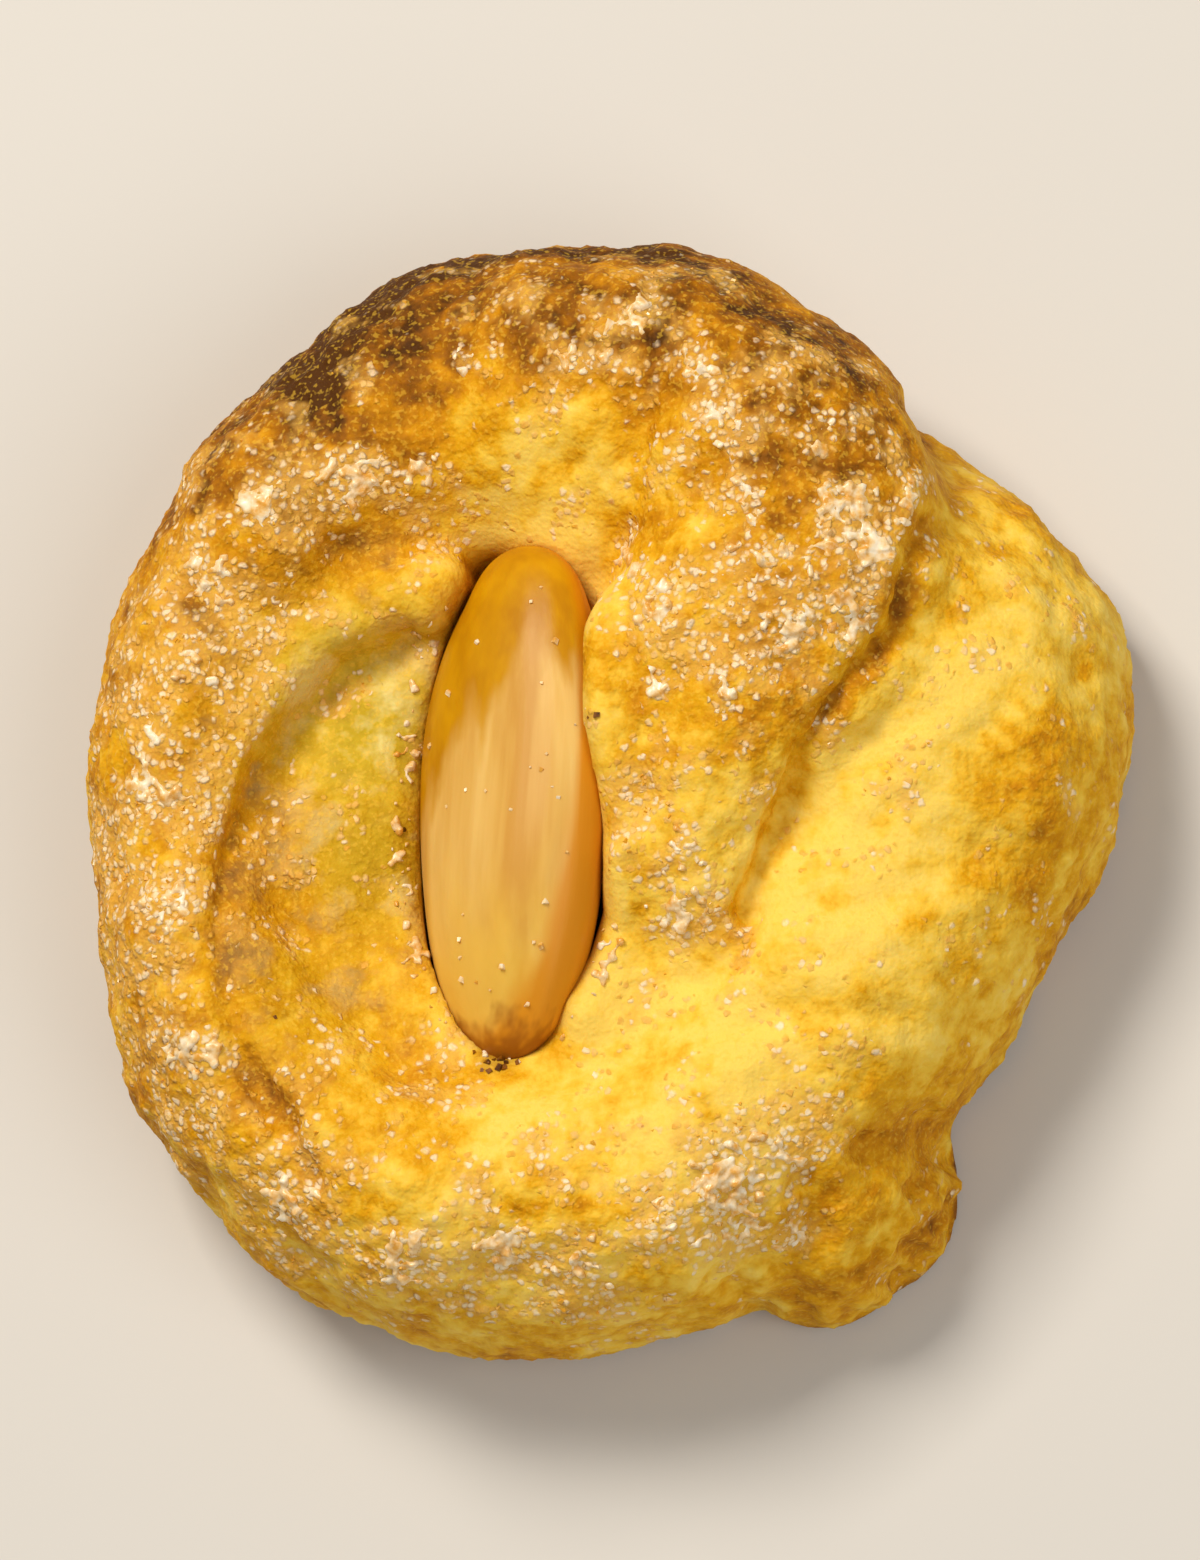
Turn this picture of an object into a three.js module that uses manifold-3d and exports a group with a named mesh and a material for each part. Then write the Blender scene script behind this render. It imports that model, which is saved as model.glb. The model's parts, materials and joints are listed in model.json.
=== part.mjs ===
// A sweet almond taralli, a ring biscuit from the south of Italy.
//
// A baker rolls soft dough into a rope, coils it once round with a little over, lays the last
// stretch back across the start, and presses an almond into the middle. In the oven the coil
// swells, its turns fuse, and the side that faces up browns under a coat of sugar.
//
// Units are millimetres, +Z is up, and the biscuit rests on its flat baked side at z = 0.
// +Y points to the top of the coil, where the rope turns inwards, and the origin is the middle of
// the outline on that flat side.

import * as THREE from "three";
import { ImprovedNoise } from "three/addons/math/ImprovedNoise.js";
import { MeshSurfaceSampler } from "three/addons/math/MeshSurfaceSampler.js";
import { mergeVertices } from "three/addons/utils/BufferGeometryUtils.js";
import Module from "manifold-3d";

const wasm = await Module();
wasm.setup();

// ---- Driving dimensions ----

const COIL_HEIGHT = 15; // crest of the ring above the table
const SHOULDER_HEIGHT = 18.4; // crest where the rope climbs over its own start
const UNDERSIDE = -4.6; // how far a full round rope would sag below the table before it flattens
const SECTION_POWER = 2.2; // 2 is an elliptical rope, more is a squarer one
const ALMOND_LENGTH = 24.8;
const ALMOND_WIDTH = 11.8;
const ALMOND_THICKNESS = 7.3;
const BAKED_GAP = 0.35; // clearance that baking leaves between dough and almond
const LUMP_HEIGHT = 1.1; // swellings of the crust
const LUMP_SPACING = 7;
const PUCKER_HEIGHT = 0.6; // finer wrinkles between them
const PUCKER_SPACING = 3;
const SUGAR_COUNT = 130; // the coarsest crystals; finer ones are too small to model
const SUGAR_SIZE = { least: 0.7, most: 1.3 };
const SUGAR_SPACING = { thick: 1.5, thin: 2.5 };

// A station of a rope: where its centreline passes, its half width there, and the heights of its
// crest and of its lowest point.
const station = (x, y, halfWidth, crest, low = UNDERSIDE) => ({ x, y, halfWidth, crest, low });

// The ring, from the end that is tucked under the shoulder, clockwise to the top of the coil.
const RING = [
  station(4.4, 19.0, 4.8, 11),
  station(10.8, 13.0, 6.8, 12.8),
  station(14.6, 5.6, 9.1, 13.8),
  station(11.4, -2.7, 8.4, 14.0),
  station(7.7, -10.0, 8.0, 14.0),
  station(3.0, -15.2, 8.0, 14.2),
  station(-4.6, -17.6, 7.4, COIL_HEIGHT - 0.4),
  station(-12.8, -16.0, 7.2, COIL_HEIGHT),
  station(-19.0, -9.6, 6.2, COIL_HEIGHT),
  station(-21.6, -0.4, 5.2, COIL_HEIGHT - 0.2),
  station(-20.2, 8.0, 6.0, COIL_HEIGHT + 0.2),
  station(-15.6, 15.4, 6.9, COIL_HEIGHT + 0.6),
  station(-7.0, 20.8, 8.0, COIL_HEIGHT),
  station(1.2, 20.4, 5.4, COIL_HEIGHT - 3),
];

// The last stretch of the rope: it leaves the top of the ring, climbs over the tucked end, and
// tapers down along the almond to the tip.
const ARM = [
  station(-13.0, 16.4, 4.8, COIL_HEIGHT - 2.5, 2),
  station(-5.8, 20.0, 7.8, COIL_HEIGHT + 0.9, 0),
  station(2.0, 19.4, 8.0, COIL_HEIGHT + 2.2, 1),
  station(8.5, 13.3, 7.6, SHOULDER_HEIGHT, 5),
  station(5.7, 6.2, 7.5, SHOULDER_HEIGHT - 0.5, 6.5),
  station(4.2, 0.6, 5.3, SHOULDER_HEIGHT - 2, 6.5),
  station(3.3, -8.2, 3.2, SHOULDER_HEIGHT - 3.8, 6),
];

// The bed that the almond is pressed into: the inner side of the rope, squeezed into a lower
// step. It runs from the top of the coil, under the arm, clockwise, and is lowest beside the
// almond's blunt end.
const BED = [
  station(-7.4, 14.4, 3.2, 13.0, -2),
  station(-4.2, 14.8, 3.6, 13.6, -2),
  station(0.2, 12.8, 4.6, 13.8, -2),
  station(2.6, 8.6, 5.2, 13.4, -2),
  station(4.4, 2.6, 5.0, 12.8, -2),
  station(3.2, -4.0, 5.2, 12.8, -2),
  station(0.8, -10.0, 5.6, 13.0, -2),
  station(-4.6, -13.8, 5.6, 12.4, -2),
  station(-10.2, -11.4, 6.2, 12.2, -2),
  station(-13.6, -4.4, 6.2, 11.8, -2),
  station(-13.2, 3.4, 5.8, 11.5, -2),
  station(-9.8, 8.4, 5.2, 11.4, -2),
  station(-7.6, 10.8, 4.4, 12.2, -2),
];

// The inner edge of the ring, pushed into a step over the low side of the middle.
const RIM_FOLD = [
  station(-8.2, 13.2, 2.2, 13.2, 7),
  station(-11.4, 10.6, 2.5, 13.8, 7),
  station(-14.3, 9.4, 2.6, 14.1, 7),
  station(-17.4, 6.3, 2.5, 14.2, 7),
  station(-19.2, 2.8, 2.3, 14.2, 7),
  station(-20.6, -2.0, 1.9, 14.0, 7),
];

// The dough that the almond squeezed up along the arm.
const ARM_FOLD = [
  station(0.8, 11.0, 1.6, 16.6, 11),
  station(-0.1, 7.6, 1.8, 17.2, 11),
  station(-0.3, 4.0, 1.7, 17.2, 11),
  station(0.0, 0.4, 1.5, 16.6, 11),
  station(0.6, -3.0, 1.2, 15.6, 11),
];

// The foot that spreads from under the lower right of the ring.
const FOOT = [
  station(7.0, -11.0, 4.0, 8.0),
  station(9.5, -17.4, 6.2, 10.0),
  station(3.0, -18.4, 4.8, 8.0),
];

// The dough that closes the ring's middle, under the almond.
const FLOOR = { x: -2.5, y: -1.0, radiusX: 15, radiusY: 16, crest: 8.4, low: -2 };

// The almond leans on the arm, its broad face turned up towards the low side of the middle.
const ALMOND_CENTRE = new THREE.Vector3(-5.3, 0.4, 11.5);
const ALMOND_TURN = -THREE.MathUtils.degToRad(3.4); // in plan, clockwise
const ALMOND_ROLL = -THREE.MathUtils.degToRad(45); // about its length
const ALMOND_PITCH = THREE.MathUtils.degToRad(3); // blunt end up

// ---- Helpers ----

const noise = new ImprovedNoise();

// Relief of the baked crust at a point in space.
function crustRelief(point) {
  const lump = noise.noise(point.x / LUMP_SPACING, point.y / LUMP_SPACING, point.z / LUMP_SPACING);
  const pucker = noise.noise(point.x / PUCKER_SPACING, point.y / PUCKER_SPACING, point.z / PUCKER_SPACING);
  return LUMP_HEIGHT * lump + PUCKER_HEIGHT * pucker;
}

// A closed geometry as a solid that can be joined and cut.
function toSolid(geometry) {
  const bare = geometry.clone();
  bare.deleteAttribute("normal");
  bare.deleteAttribute("uv");
  const merged = mergeVertices(bare, 1e-4);
  return new wasm.Manifold(
    new wasm.Mesh({
      numProp: 3,
      vertProperties: merged.attributes.position.array,
      triVerts: new Uint32Array(merged.index.array),
    }),
  );
}

// The solid's vertices and triangles as a geometry.
function toGeometry(solid) {
  const mesh = solid.getMesh();
  const geometry = new THREE.BufferGeometry();
  geometry.setAttribute("position", new THREE.BufferAttribute(mesh.vertProperties, mesh.numProp));
  geometry.setIndex(new THREE.BufferAttribute(mesh.triVerts, 1));
  geometry.computeVertexNormals();
  return geometry;
}

// The largest connected shell of a geometry. It leaves out the sealed bubbles and loose crumbs,
// under a hundredth of a cubic millimetre, that can lie where the ropes overlap.
function largestShell(geometry) {
  const index = geometry.index.array;
  const parent = Array.from({ length: geometry.attributes.position.count }, (_, i) => i);
  const root = (i) => {
    while (parent[i] !== i) i = parent[i] = parent[parent[i]];
    return i;
  };
  for (let i = 0; i < index.length; i += 3) {
    parent[root(index[i])] = root(index[i + 1]);
    parent[root(index[i + 1])] = root(index[i + 2]);
  }
  const size = new Map();
  for (const vertex of index) size.set(root(vertex), (size.get(root(vertex)) ?? 0) + 1);
  const largest = [...size.entries()].reduce((a, b) => (b[1] > a[1] ? b : a))[0];
  const shell = new THREE.BufferGeometry();
  shell.setAttribute("position", geometry.attributes.position);
  shell.setIndex(Array.from(index).filter((vertex) => root(vertex) === largest));
  const bare = mergeVertices(shell.toNonIndexed(), 1e-5);
  bare.computeVertexNormals();
  return bare;
}

// Moves each vertex of a geometry to where place(vertex) says.
function reshape(geometry, place) {
  const position = geometry.attributes.position;
  const vertex = new THREE.Vector3();
  for (let i = 0; i < position.count; i++) {
    vertex.fromBufferAttribute(position, i);
    place(vertex);
    position.setXYZ(i, vertex.x, vertex.y, vertex.z);
  }
  return geometry;
}

// ---- Dough ----

// A circle's cosine or sine, drawn out so that the section is a little squarer than an ellipse.
const squared = (value) => Math.sign(value) * Math.pow(Math.abs(value), 2 / SECTION_POWER);

// A rope of dough: a capsule bent along the stations, its section squashed to their widths and
// heights.
function ropeGeometry(stations, endLength, around, along) {
  const route = new THREE.CatmullRomCurve3(
    stations.map((s) => new THREE.Vector3(s.x, s.y, 0)),
    false,
    "catmullrom",
  );
  const section = new THREE.CatmullRomCurve3(
    stations.map((s) => new THREE.Vector3(s.halfWidth, s.crest, s.low)),
    false,
    "catmullrom",
  );
  const length = route.getLength();
  const capsule = new THREE.CapsuleGeometry(endLength, length - 2 * endLength, 5, around, along);
  return reshape(capsule, (vertex) => {
    const share = THREE.MathUtils.clamp(vertex.y / length + 0.5, 0, 1);
    const t = route.getUtoTmapping(share);
    const centre = route.getPoint(t);
    const forward = route.getTangent(t);
    const { x: halfWidth, y: crest, z: low } = section.getPoint(t);
    const round = Math.hypot(vertex.x, vertex.z) / endLength;
    const angle = Math.atan2(vertex.z, vertex.x);
    const across = round * squared(Math.cos(angle));
    const up = round * squared(Math.sin(angle));
    vertex.set(
      centre.x + forward.y * across * halfWidth,
      centre.y - forward.x * across * halfWidth,
      (crest + low) / 2 + (up * (crest - low)) / 2,
    );
    const relief = crustRelief(vertex);
    vertex.x += forward.y * across * relief;
    vertex.y -= forward.x * across * relief;
    vertex.z += up * relief;
  });
}

function floorGeometry() {
  const middle = (FLOOR.crest + FLOOR.low) / 2;
  const halfHeight = (FLOOR.crest - FLOOR.low) / 2;
  return reshape(new THREE.SphereGeometry(1, 28, 14), (vertex) => {
    vertex.set(
      FLOOR.x + vertex.x * FLOOR.radiusX,
      FLOOR.y + vertex.z * FLOOR.radiusY,
      middle - vertex.y * halfHeight,
    );
    vertex.z += 0.6 * crustRelief(vertex);
  });
}

// ---- Almond ----

const ALMOND_VEINS = 9; // round the kernel
const ALMOND_VEIN_HEIGHT = 0.14;
const BLUNT_END = 2.4; // exponents of the two ends: 2 is an ellipse, more is fuller
const POINTED_END = 2.15;

// A skinned kernel: blunt at +Y, pointed at -Y, flattened, with veins that fade at both ends.
function almondGeometry(growth = 0) {
  return reshape(new THREE.SphereGeometry(1, 32, 22), (vertex) => {
    const lengthwise = vertex.y;
    const angle = Math.atan2(vertex.z, vertex.x);
    const fullness = lengthwise > 0 ? BLUNT_END : POINTED_END;
    const girth = Math.sqrt(1 - Math.pow(Math.abs(lengthwise), fullness));
    const vein = growth ? 0 : ALMOND_VEIN_HEIGHT * Math.cos(ALMOND_VEINS * angle + 2 * lengthwise);
    vertex.set(
      Math.cos(angle) * girth * (ALMOND_WIDTH / 2 + vein + growth),
      lengthwise * (ALMOND_LENGTH / 2 + growth),
      Math.sin(angle) * girth * (ALMOND_THICKNESS / 2 + vein + growth),
    );
  });
}

const almondPlace = new THREE.Matrix4().compose(
  ALMOND_CENTRE,
  new THREE.Quaternion().setFromEuler(new THREE.Euler(ALMOND_PITCH, ALMOND_ROLL, ALMOND_TURN, "ZXY")),
  new THREE.Vector3(1, 1, 1),
);

// ---- Sugar ----

// A repeatable random source, so that every run scatters the same crystals.
function seededRandom(seed) {
  let state = seed;
  return () => {
    state = (Math.imul(state, 1664525) + 1013904223) >>> 0;
    return state / 4294967296;
  };
}

// How far apart crystals lie at a point of the crust: close on the rope's last stretch, wider on
// the rim, and nowhere in the hollow, beside the almond, on the pale start of the coil or on the
// sides.
function sugarSpacing(point, normal) {
  const inAlmond = point.clone().applyMatrix4(almondPlace.clone().invert());
  const besideAlmond =
    Math.hypot(inAlmond.x / ALMOND_WIDTH, inAlmond.y / ALMOND_LENGTH, inAlmond.z / ALMOND_THICKNESS) < 0.7;
  if (besideAlmond || normal.z < 0.45 || point.z < 10.5) return Infinity;
  if (point.z > COIL_HEIGHT + 1) return SUGAR_SPACING.thick;
  const fromMiddle = Math.hypot(point.x - FLOOR.x, point.y - FLOOR.y);
  const onPaleStart = point.x > 6 && point.y > -13;
  return fromMiddle < FLOOR.radiusX || onPaleStart ? Infinity : SUGAR_SPACING.thin;
}

// Coarse crystals half sunk in the crust, no two closer than its spacing there.
function sugarCrystals(crust) {
  const random = seededRandom(27);
  const sampler = new MeshSurfaceSampler(new THREE.Mesh(crust)).setRandomGenerator(random).build();
  const point = new THREE.Vector3();
  const normal = new THREE.Vector3();
  const placed = [];
  const crystals = [];
  for (let tries = 0; placed.length < SUGAR_COUNT && tries < 40 * SUGAR_COUNT; tries++) {
    sampler.sample(point, normal);
    const spacing = sugarSpacing(point, normal);
    if (spacing === Infinity || placed.some((other) => other.distanceTo(point) < spacing)) continue;
    placed.push(point.clone());
    const size = THREE.MathUtils.lerp(SUGAR_SIZE.least, SUGAR_SIZE.most, random() ** 2);
    const crystal = new THREE.BoxGeometry(size, size * 0.8, size * 0.7);
    crystal.rotateX(random() * Math.PI).rotateY(random() * Math.PI).rotateZ(random() * Math.PI);
    crystal.translate(point.x, point.y, point.z);
    crystals.push(crystal);
  }
  return crystals;
}

// ---- Assembly ----

function doughSolid() {
  const table = new THREE.BoxGeometry(80, 80, 20).translate(0, 0, -10);
  let dough = toSolid(ropeGeometry(RING, 5.5, 22, 72));
  const others = [
    ropeGeometry(ARM, 5, 22, 26),
    ropeGeometry(BED, 4, 16, 34),
    ropeGeometry(FOOT, 4, 14, 10),
    ropeGeometry(RIM_FOLD, 2, 12, 18),
    ropeGeometry(ARM_FOLD, 1.5, 10, 10),
    floorGeometry(),
  ];
  for (const other of others) dough = dough.add(toSolid(other));
  dough = dough.subtract(toSolid(table));
  for (const crystal of sugarCrystals(toGeometry(dough).toNonIndexed())) {
    dough = dough.add(toSolid(crystal));
  }
  return dough.subtract(toSolid(almondGeometry(BAKED_GAP).applyMatrix4(almondPlace)));
}

const crustMaterial = new THREE.MeshStandardMaterial({ color: "#dfa845", roughness: 0.75, metalness: 0 });
const kernelMaterial = new THREE.MeshStandardMaterial({ color: "#dd9f42", roughness: 0.45, metalness: 0 });

const dough = new THREE.Mesh(largestShell(toGeometry(doughSolid())), crustMaterial);
dough.name = "dough";

const almond = new THREE.Mesh(almondGeometry(), kernelMaterial);
almond.name = "almond";
almond.applyMatrix4(almondPlace);

const taralli = new THREE.Group();
taralli.add(dough, almond);

// The middle of the outline goes to the origin.
const outline = new THREE.Box3().setFromObject(taralli, true);
taralli.position.set(-(outline.min.x + outline.max.x) / 2, -(outline.min.y + outline.max.y) / 2, 0);

export default taralli;
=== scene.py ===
# %% [markdown]
# # A sweet almond taralli
# A baker rolls soft dough into a rope, coils it once round with a little over, lays the tapered
# end back over the start and presses a skinned almond into the middle. The oven swells and
# fuses the turns, browns what faces up, and leaves the hollow and the start of the coil pale.
# Coarse sugar sticks to the crust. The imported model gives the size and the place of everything.

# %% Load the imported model
import math

import bpy
import numpy as np
from mathutils import Matrix, Vector
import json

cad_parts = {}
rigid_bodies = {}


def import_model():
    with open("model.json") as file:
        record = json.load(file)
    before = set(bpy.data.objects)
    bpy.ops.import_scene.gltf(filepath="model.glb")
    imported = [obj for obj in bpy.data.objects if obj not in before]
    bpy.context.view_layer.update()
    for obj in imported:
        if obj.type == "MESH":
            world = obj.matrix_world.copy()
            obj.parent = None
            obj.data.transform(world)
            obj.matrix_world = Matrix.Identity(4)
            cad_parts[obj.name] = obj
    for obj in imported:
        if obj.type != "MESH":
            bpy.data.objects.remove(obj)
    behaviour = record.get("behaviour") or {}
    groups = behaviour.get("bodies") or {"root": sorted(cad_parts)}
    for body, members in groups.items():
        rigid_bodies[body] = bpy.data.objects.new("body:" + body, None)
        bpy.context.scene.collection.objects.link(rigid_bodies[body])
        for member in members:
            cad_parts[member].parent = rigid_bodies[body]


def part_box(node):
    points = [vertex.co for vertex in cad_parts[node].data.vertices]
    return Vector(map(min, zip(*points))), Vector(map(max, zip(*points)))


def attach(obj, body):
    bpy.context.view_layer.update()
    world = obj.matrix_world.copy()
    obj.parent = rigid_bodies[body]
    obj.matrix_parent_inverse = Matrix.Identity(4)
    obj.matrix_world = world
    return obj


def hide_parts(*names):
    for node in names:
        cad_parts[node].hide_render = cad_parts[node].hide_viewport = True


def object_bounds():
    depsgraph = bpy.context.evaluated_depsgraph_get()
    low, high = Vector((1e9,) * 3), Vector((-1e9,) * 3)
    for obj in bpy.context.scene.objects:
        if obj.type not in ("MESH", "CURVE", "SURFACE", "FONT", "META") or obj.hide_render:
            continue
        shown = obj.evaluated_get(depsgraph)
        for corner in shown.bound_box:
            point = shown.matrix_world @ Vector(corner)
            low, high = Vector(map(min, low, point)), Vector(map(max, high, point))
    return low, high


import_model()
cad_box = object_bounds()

MM = 0.001  # Blender works in metres, and this script in millimetres times this

print("CAD box, mm:", [[round(value / MM, 2) for value in corner] for corner in cad_box])

# %% [markdown]
# ## The course of the rope
# The baker's rope is one long roll, so it is described the way it lies: a few stations, each
# with a place, a half width and the heights of its crest and its lowest point. The heights run
# below the table where the roll has flattened. A smooth curve joins the stations, so that no
# section needs more numbers than the eye can judge.

# %% Stations of the rope, in millimetres
COIL_HEIGHT = 15
SHOULDER_HEIGHT = 18.4
UNDERSIDE = -4.6


def station(x, y, half_width, crest, low=UNDERSIDE):
    return (x, y, half_width, crest, low)


RING = [
    station(4.4, 19.0, 4.8, 11),
    station(10.8, 13.0, 6.8, 12.8),
    station(14.6, 5.6, 9.1, 13.8),
    station(11.4, -2.7, 8.4, 14.0),
    station(7.7, -10.0, 8.0, 14.0),
    station(3.0, -15.2, 8.0, 14.2),
    station(-4.6, -17.6, 7.4, COIL_HEIGHT - 0.4),
    station(-12.8, -16.0, 7.2, COIL_HEIGHT),
    station(-19.0, -9.6, 6.2, COIL_HEIGHT),
    station(-21.6, -0.4, 5.2, COIL_HEIGHT - 0.2),
    station(-20.2, 8.0, 6.0, COIL_HEIGHT + 0.2),
    station(-15.6, 15.4, 6.9, COIL_HEIGHT + 0.6),
    station(-7.0, 20.8, 8.0, COIL_HEIGHT),
    station(1.2, 20.4, 5.4, COIL_HEIGHT - 3),
]
ARM = [
    station(-13.0, 16.4, 4.8, COIL_HEIGHT - 2.5, 2),
    station(-5.8, 20.0, 7.8, COIL_HEIGHT + 0.9, 0),
    station(2.0, 19.4, 8.0, COIL_HEIGHT + 2.2, 1),
    station(8.5, 13.3, 7.6, SHOULDER_HEIGHT, 5),
    station(5.7, 6.2, 7.5, SHOULDER_HEIGHT - 0.5, 6.5),
    station(4.2, 0.6, 5.3, SHOULDER_HEIGHT - 2, 6.5),
    station(3.3, -8.2, 3.2, SHOULDER_HEIGHT - 3.8, 6),
]
BED = [
    station(-7.4, 14.4, 3.2, 13.0, -2),
    station(-4.2, 14.8, 3.6, 13.6, -2),
    station(0.2, 12.8, 4.6, 13.8, -2),
    station(2.6, 8.6, 5.2, 13.4, -2),
    station(4.4, 2.6, 5.0, 12.8, -2),
    station(3.2, -4.0, 5.2, 12.8, -2),
    station(0.8, -10.0, 5.6, 13.0, -2),
    station(-4.6, -13.8, 5.6, 12.4, -2),
    station(-10.2, -11.4, 6.2, 12.2, -2),
    station(-13.6, -4.4, 6.2, 11.8, -2),
    station(-13.2, 3.4, 5.8, 11.5, -2),
    station(-9.8, 8.4, 5.2, 11.4, -2),
    station(-7.6, 10.8, 4.4, 12.2, -2),
]
FOOT = [
    station(7.0, -11.0, 4.0, 8.0),
    station(9.5, -17.4, 6.2, 10.0),
    station(3.0, -18.4, 4.8, 8.0),
]

RIM_FOLD = [  # the inner edge of the ring, pushed into a step over the hollow
    station(-8.2, 13.2, 2.2, 13.2, 7),
    station(-11.4, 10.6, 2.5, 13.8, 7),
    station(-14.3, 9.4, 2.6, 14.1, 7),
    station(-17.4, 6.3, 2.5, 14.2, 7),
    station(-19.2, 2.8, 2.3, 14.2, 7),
    station(-20.6, -2.0, 1.9, 14.0, 7),
]
ARM_FOLD = [  # the dough that the almond squeezed up along the arm
    station(0.8, 11.0, 1.6, 16.6, 11),
    station(-0.1, 7.6, 1.8, 17.2, 11),
    station(-0.3, 4.0, 1.7, 17.2, 11),
    station(0.0, 0.4, 1.5, 16.6, 11),
    station(0.6, -3.0, 1.2, 15.6, 11),
]

# %% The almond's size and place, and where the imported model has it
ALMOND_LENGTH, ALMOND_WIDTH, ALMOND_THICKNESS = 24.8, 11.8, 7.3
ALMOND_CENTRE = Vector((-5.3, 0.4, 11.5))
ALMOND_TURN, ALMOND_ROLL, ALMOND_PITCH = (math.radians(angle) for angle in (-3.4, -45, 3))
ALMOND_AXES = (
    Matrix.Rotation(ALMOND_TURN, 3, "Z")
    @ Matrix.Rotation(ALMOND_PITCH, 3, "X")
    @ Matrix.Rotation(ALMOND_ROLL, 3, "Y")
)
BLUNT_END, POINTED_END = 2.9, 2.4  # exponents of the two ends: 2 is an ellipse, more is fuller

almond_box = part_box("almond")
almond_middle = (almond_box[0] + almond_box[1]) / 2
print("almond's middle in the packed model, mm:", [round(v / MM, 2) for v in almond_middle])

# %% Small tools for working as by hand
def only(piece):
    """Selects this piece alone and makes it the active one."""
    if bpy.context.object and bpy.context.object.mode != "OBJECT":
        bpy.ops.object.mode_set(mode="OBJECT")
    bpy.ops.object.select_all(action="DESELECT")
    piece.select_set(True)
    bpy.context.view_layer.objects.active = piece
    return piece


def modify(piece, kind, **settings):
    """Adds a modifier with its settings and applies it."""
    only(piece)
    modifier = piece.modifiers.new(kind.title(), kind)
    for name, value in settings.items():
        setattr(modifier, name, value)
    bpy.ops.object.modifier_apply(modifier=modifier.name)
    return piece


def triangles(piece):
    return sum(len(polygon.vertices) - 2 for polygon in piece.data.polygons)


# %% [markdown]
# ## Rolling the rope
# A rope could be a bevelled curve, but a curve's section stays round, and dough is wider than
# it is high and changes all along. So each rope starts as a filled circle that is extruded
# from section to section, and each time moved, turned and scaled, as one would by hand. The
# ends taper to a round over the last few millimetres.

# %% Sections along a rope
SECTION_STEP = 2.0  # mm between two sections
SHORT_OF_END = 0.02  # share of the run left off at each end, where a section would be a point
SIDES = 16
CAGE_SHRINK = (2 + math.cos(2 * math.pi / SIDES)) / 3  # what subdividing takes off the radius


def sections(stations, end_length):
    """Places, headings, half widths, middles and half heights along a smooth course."""
    s = np.array(stations, float)
    s = np.vstack([2 * s[0] - s[1], s, 2 * s[-1] - s[-2]])
    t = np.linspace(0, 1, 20, endpoint=False)[:, None]
    spans = [
        0.5 * (2 * b + (c - a) * t + (2 * a - 5 * b + 4 * c - d) * t**2 + (3 * (b - c) + d - a) * t**3)
        for a, b, c, d in zip(s, s[1:], s[2:], s[3:])
    ]
    fine = np.vstack(spans + [s[-2]])
    run = np.concatenate([[0], np.cumsum(np.linalg.norm(np.diff(fine[:, :2], axis=0), axis=1))])
    at = np.linspace(SHORT_OF_END, 1 - SHORT_OF_END, round(run[-1] / SECTION_STEP)) * run[-1]
    x, y, width, crest, low = (np.interp(at, run, column) for column in fine.T)
    heading = np.unwrap(np.arctan2(np.gradient(y), np.gradient(x)))
    to_end = np.clip(np.minimum(at, run[-1] - at) / end_length, 0, 1)
    taper = np.sqrt(1 - (1 - to_end) ** 2) / CAGE_SHRINK
    return np.column_stack([x, y, heading, width * taper, (crest + low) / 2, (crest - low) / 2 * taper])


def roll_rope(name, stations, end_length):
    """Extrudes a circle along the stations; its ends taper over end_length millimetres."""
    course = sections(stations, end_length)
    x, y, heading, width, middle, height = course[0]
    bpy.ops.object.select_all(action="DESELECT")
    bpy.ops.mesh.primitive_circle_add(
        vertices=SIDES, radius=MM, fill_type="NGON",
        location=(x * MM, y * MM, middle * MM), rotation=(math.pi / 2, 0, heading - math.pi / 2),
    )
    rope = bpy.context.object
    rope.name = name
    bpy.ops.object.transform_apply(location=True, rotation=True, scale=True)
    bpy.ops.object.mode_set(mode="EDIT")
    place = Vector((x, y, middle)) * MM
    bpy.ops.transform.resize(value=(width, width, height), center_override=place)
    for x, y, new_heading, new_width, middle, new_height in course[1:]:
        new_place = Vector((x, y, middle)) * MM
        bpy.ops.mesh.extrude_region_move()
        bpy.ops.transform.translate(value=new_place - place)
        bpy.ops.transform.rotate(value=-(new_heading - heading), orient_axis="Z", center_override=new_place)
        grow = new_width / width
        bpy.ops.transform.resize(value=(grow, grow, new_height / height), center_override=new_place)
        place, heading, width, height = new_place, new_heading, new_width, new_height
    bpy.ops.mesh.select_all(action="SELECT")
    bpy.ops.mesh.normals_make_consistent(inside=False)
    bpy.ops.object.mode_set(mode="OBJECT")
    modify(rope, "SUBSURF", levels=2, render_levels=2)
    print(name, len(course), "sections,", triangles(rope), "triangles")
    return rope


ropes = [
    roll_rope("ring", RING, 5.5),
    roll_rope("arm", ARM, 5),
    roll_rope("bed", BED, 4),
    roll_rope("foot", FOOT, 4),
    roll_rope("rim_fold", RIM_FOLD, 2.5),
    roll_rope("arm_fold", ARM_FOLD, 2.5),
]

# %% [markdown]
# ## The almond
# A skinned kernel is blunt at one end, pointed at the other and flatter than it is wide. A
# sphere with its poles at the two ends has its rings lying across the kernel, so each ring is
# scaled to the girth there. The kernel is made first, because it leaves its pocket in the dough.

# %% Shape a kernel
def girth(lengthwise):
    """The kernel's width at a place from 1, the blunt end, to -1, as a share of its widest."""
    fullness = BLUNT_END if lengthwise > 0 else POINTED_END
    return math.sqrt(max(1 - abs(lengthwise) ** fullness, 0))


def turn(angle, axis, centre):
    """Turns what is selected by the right-hand rule. With no window the operator turns the other way."""
    bpy.ops.transform.rotate(value=-angle, orient_axis=axis, center_override=centre)


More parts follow.
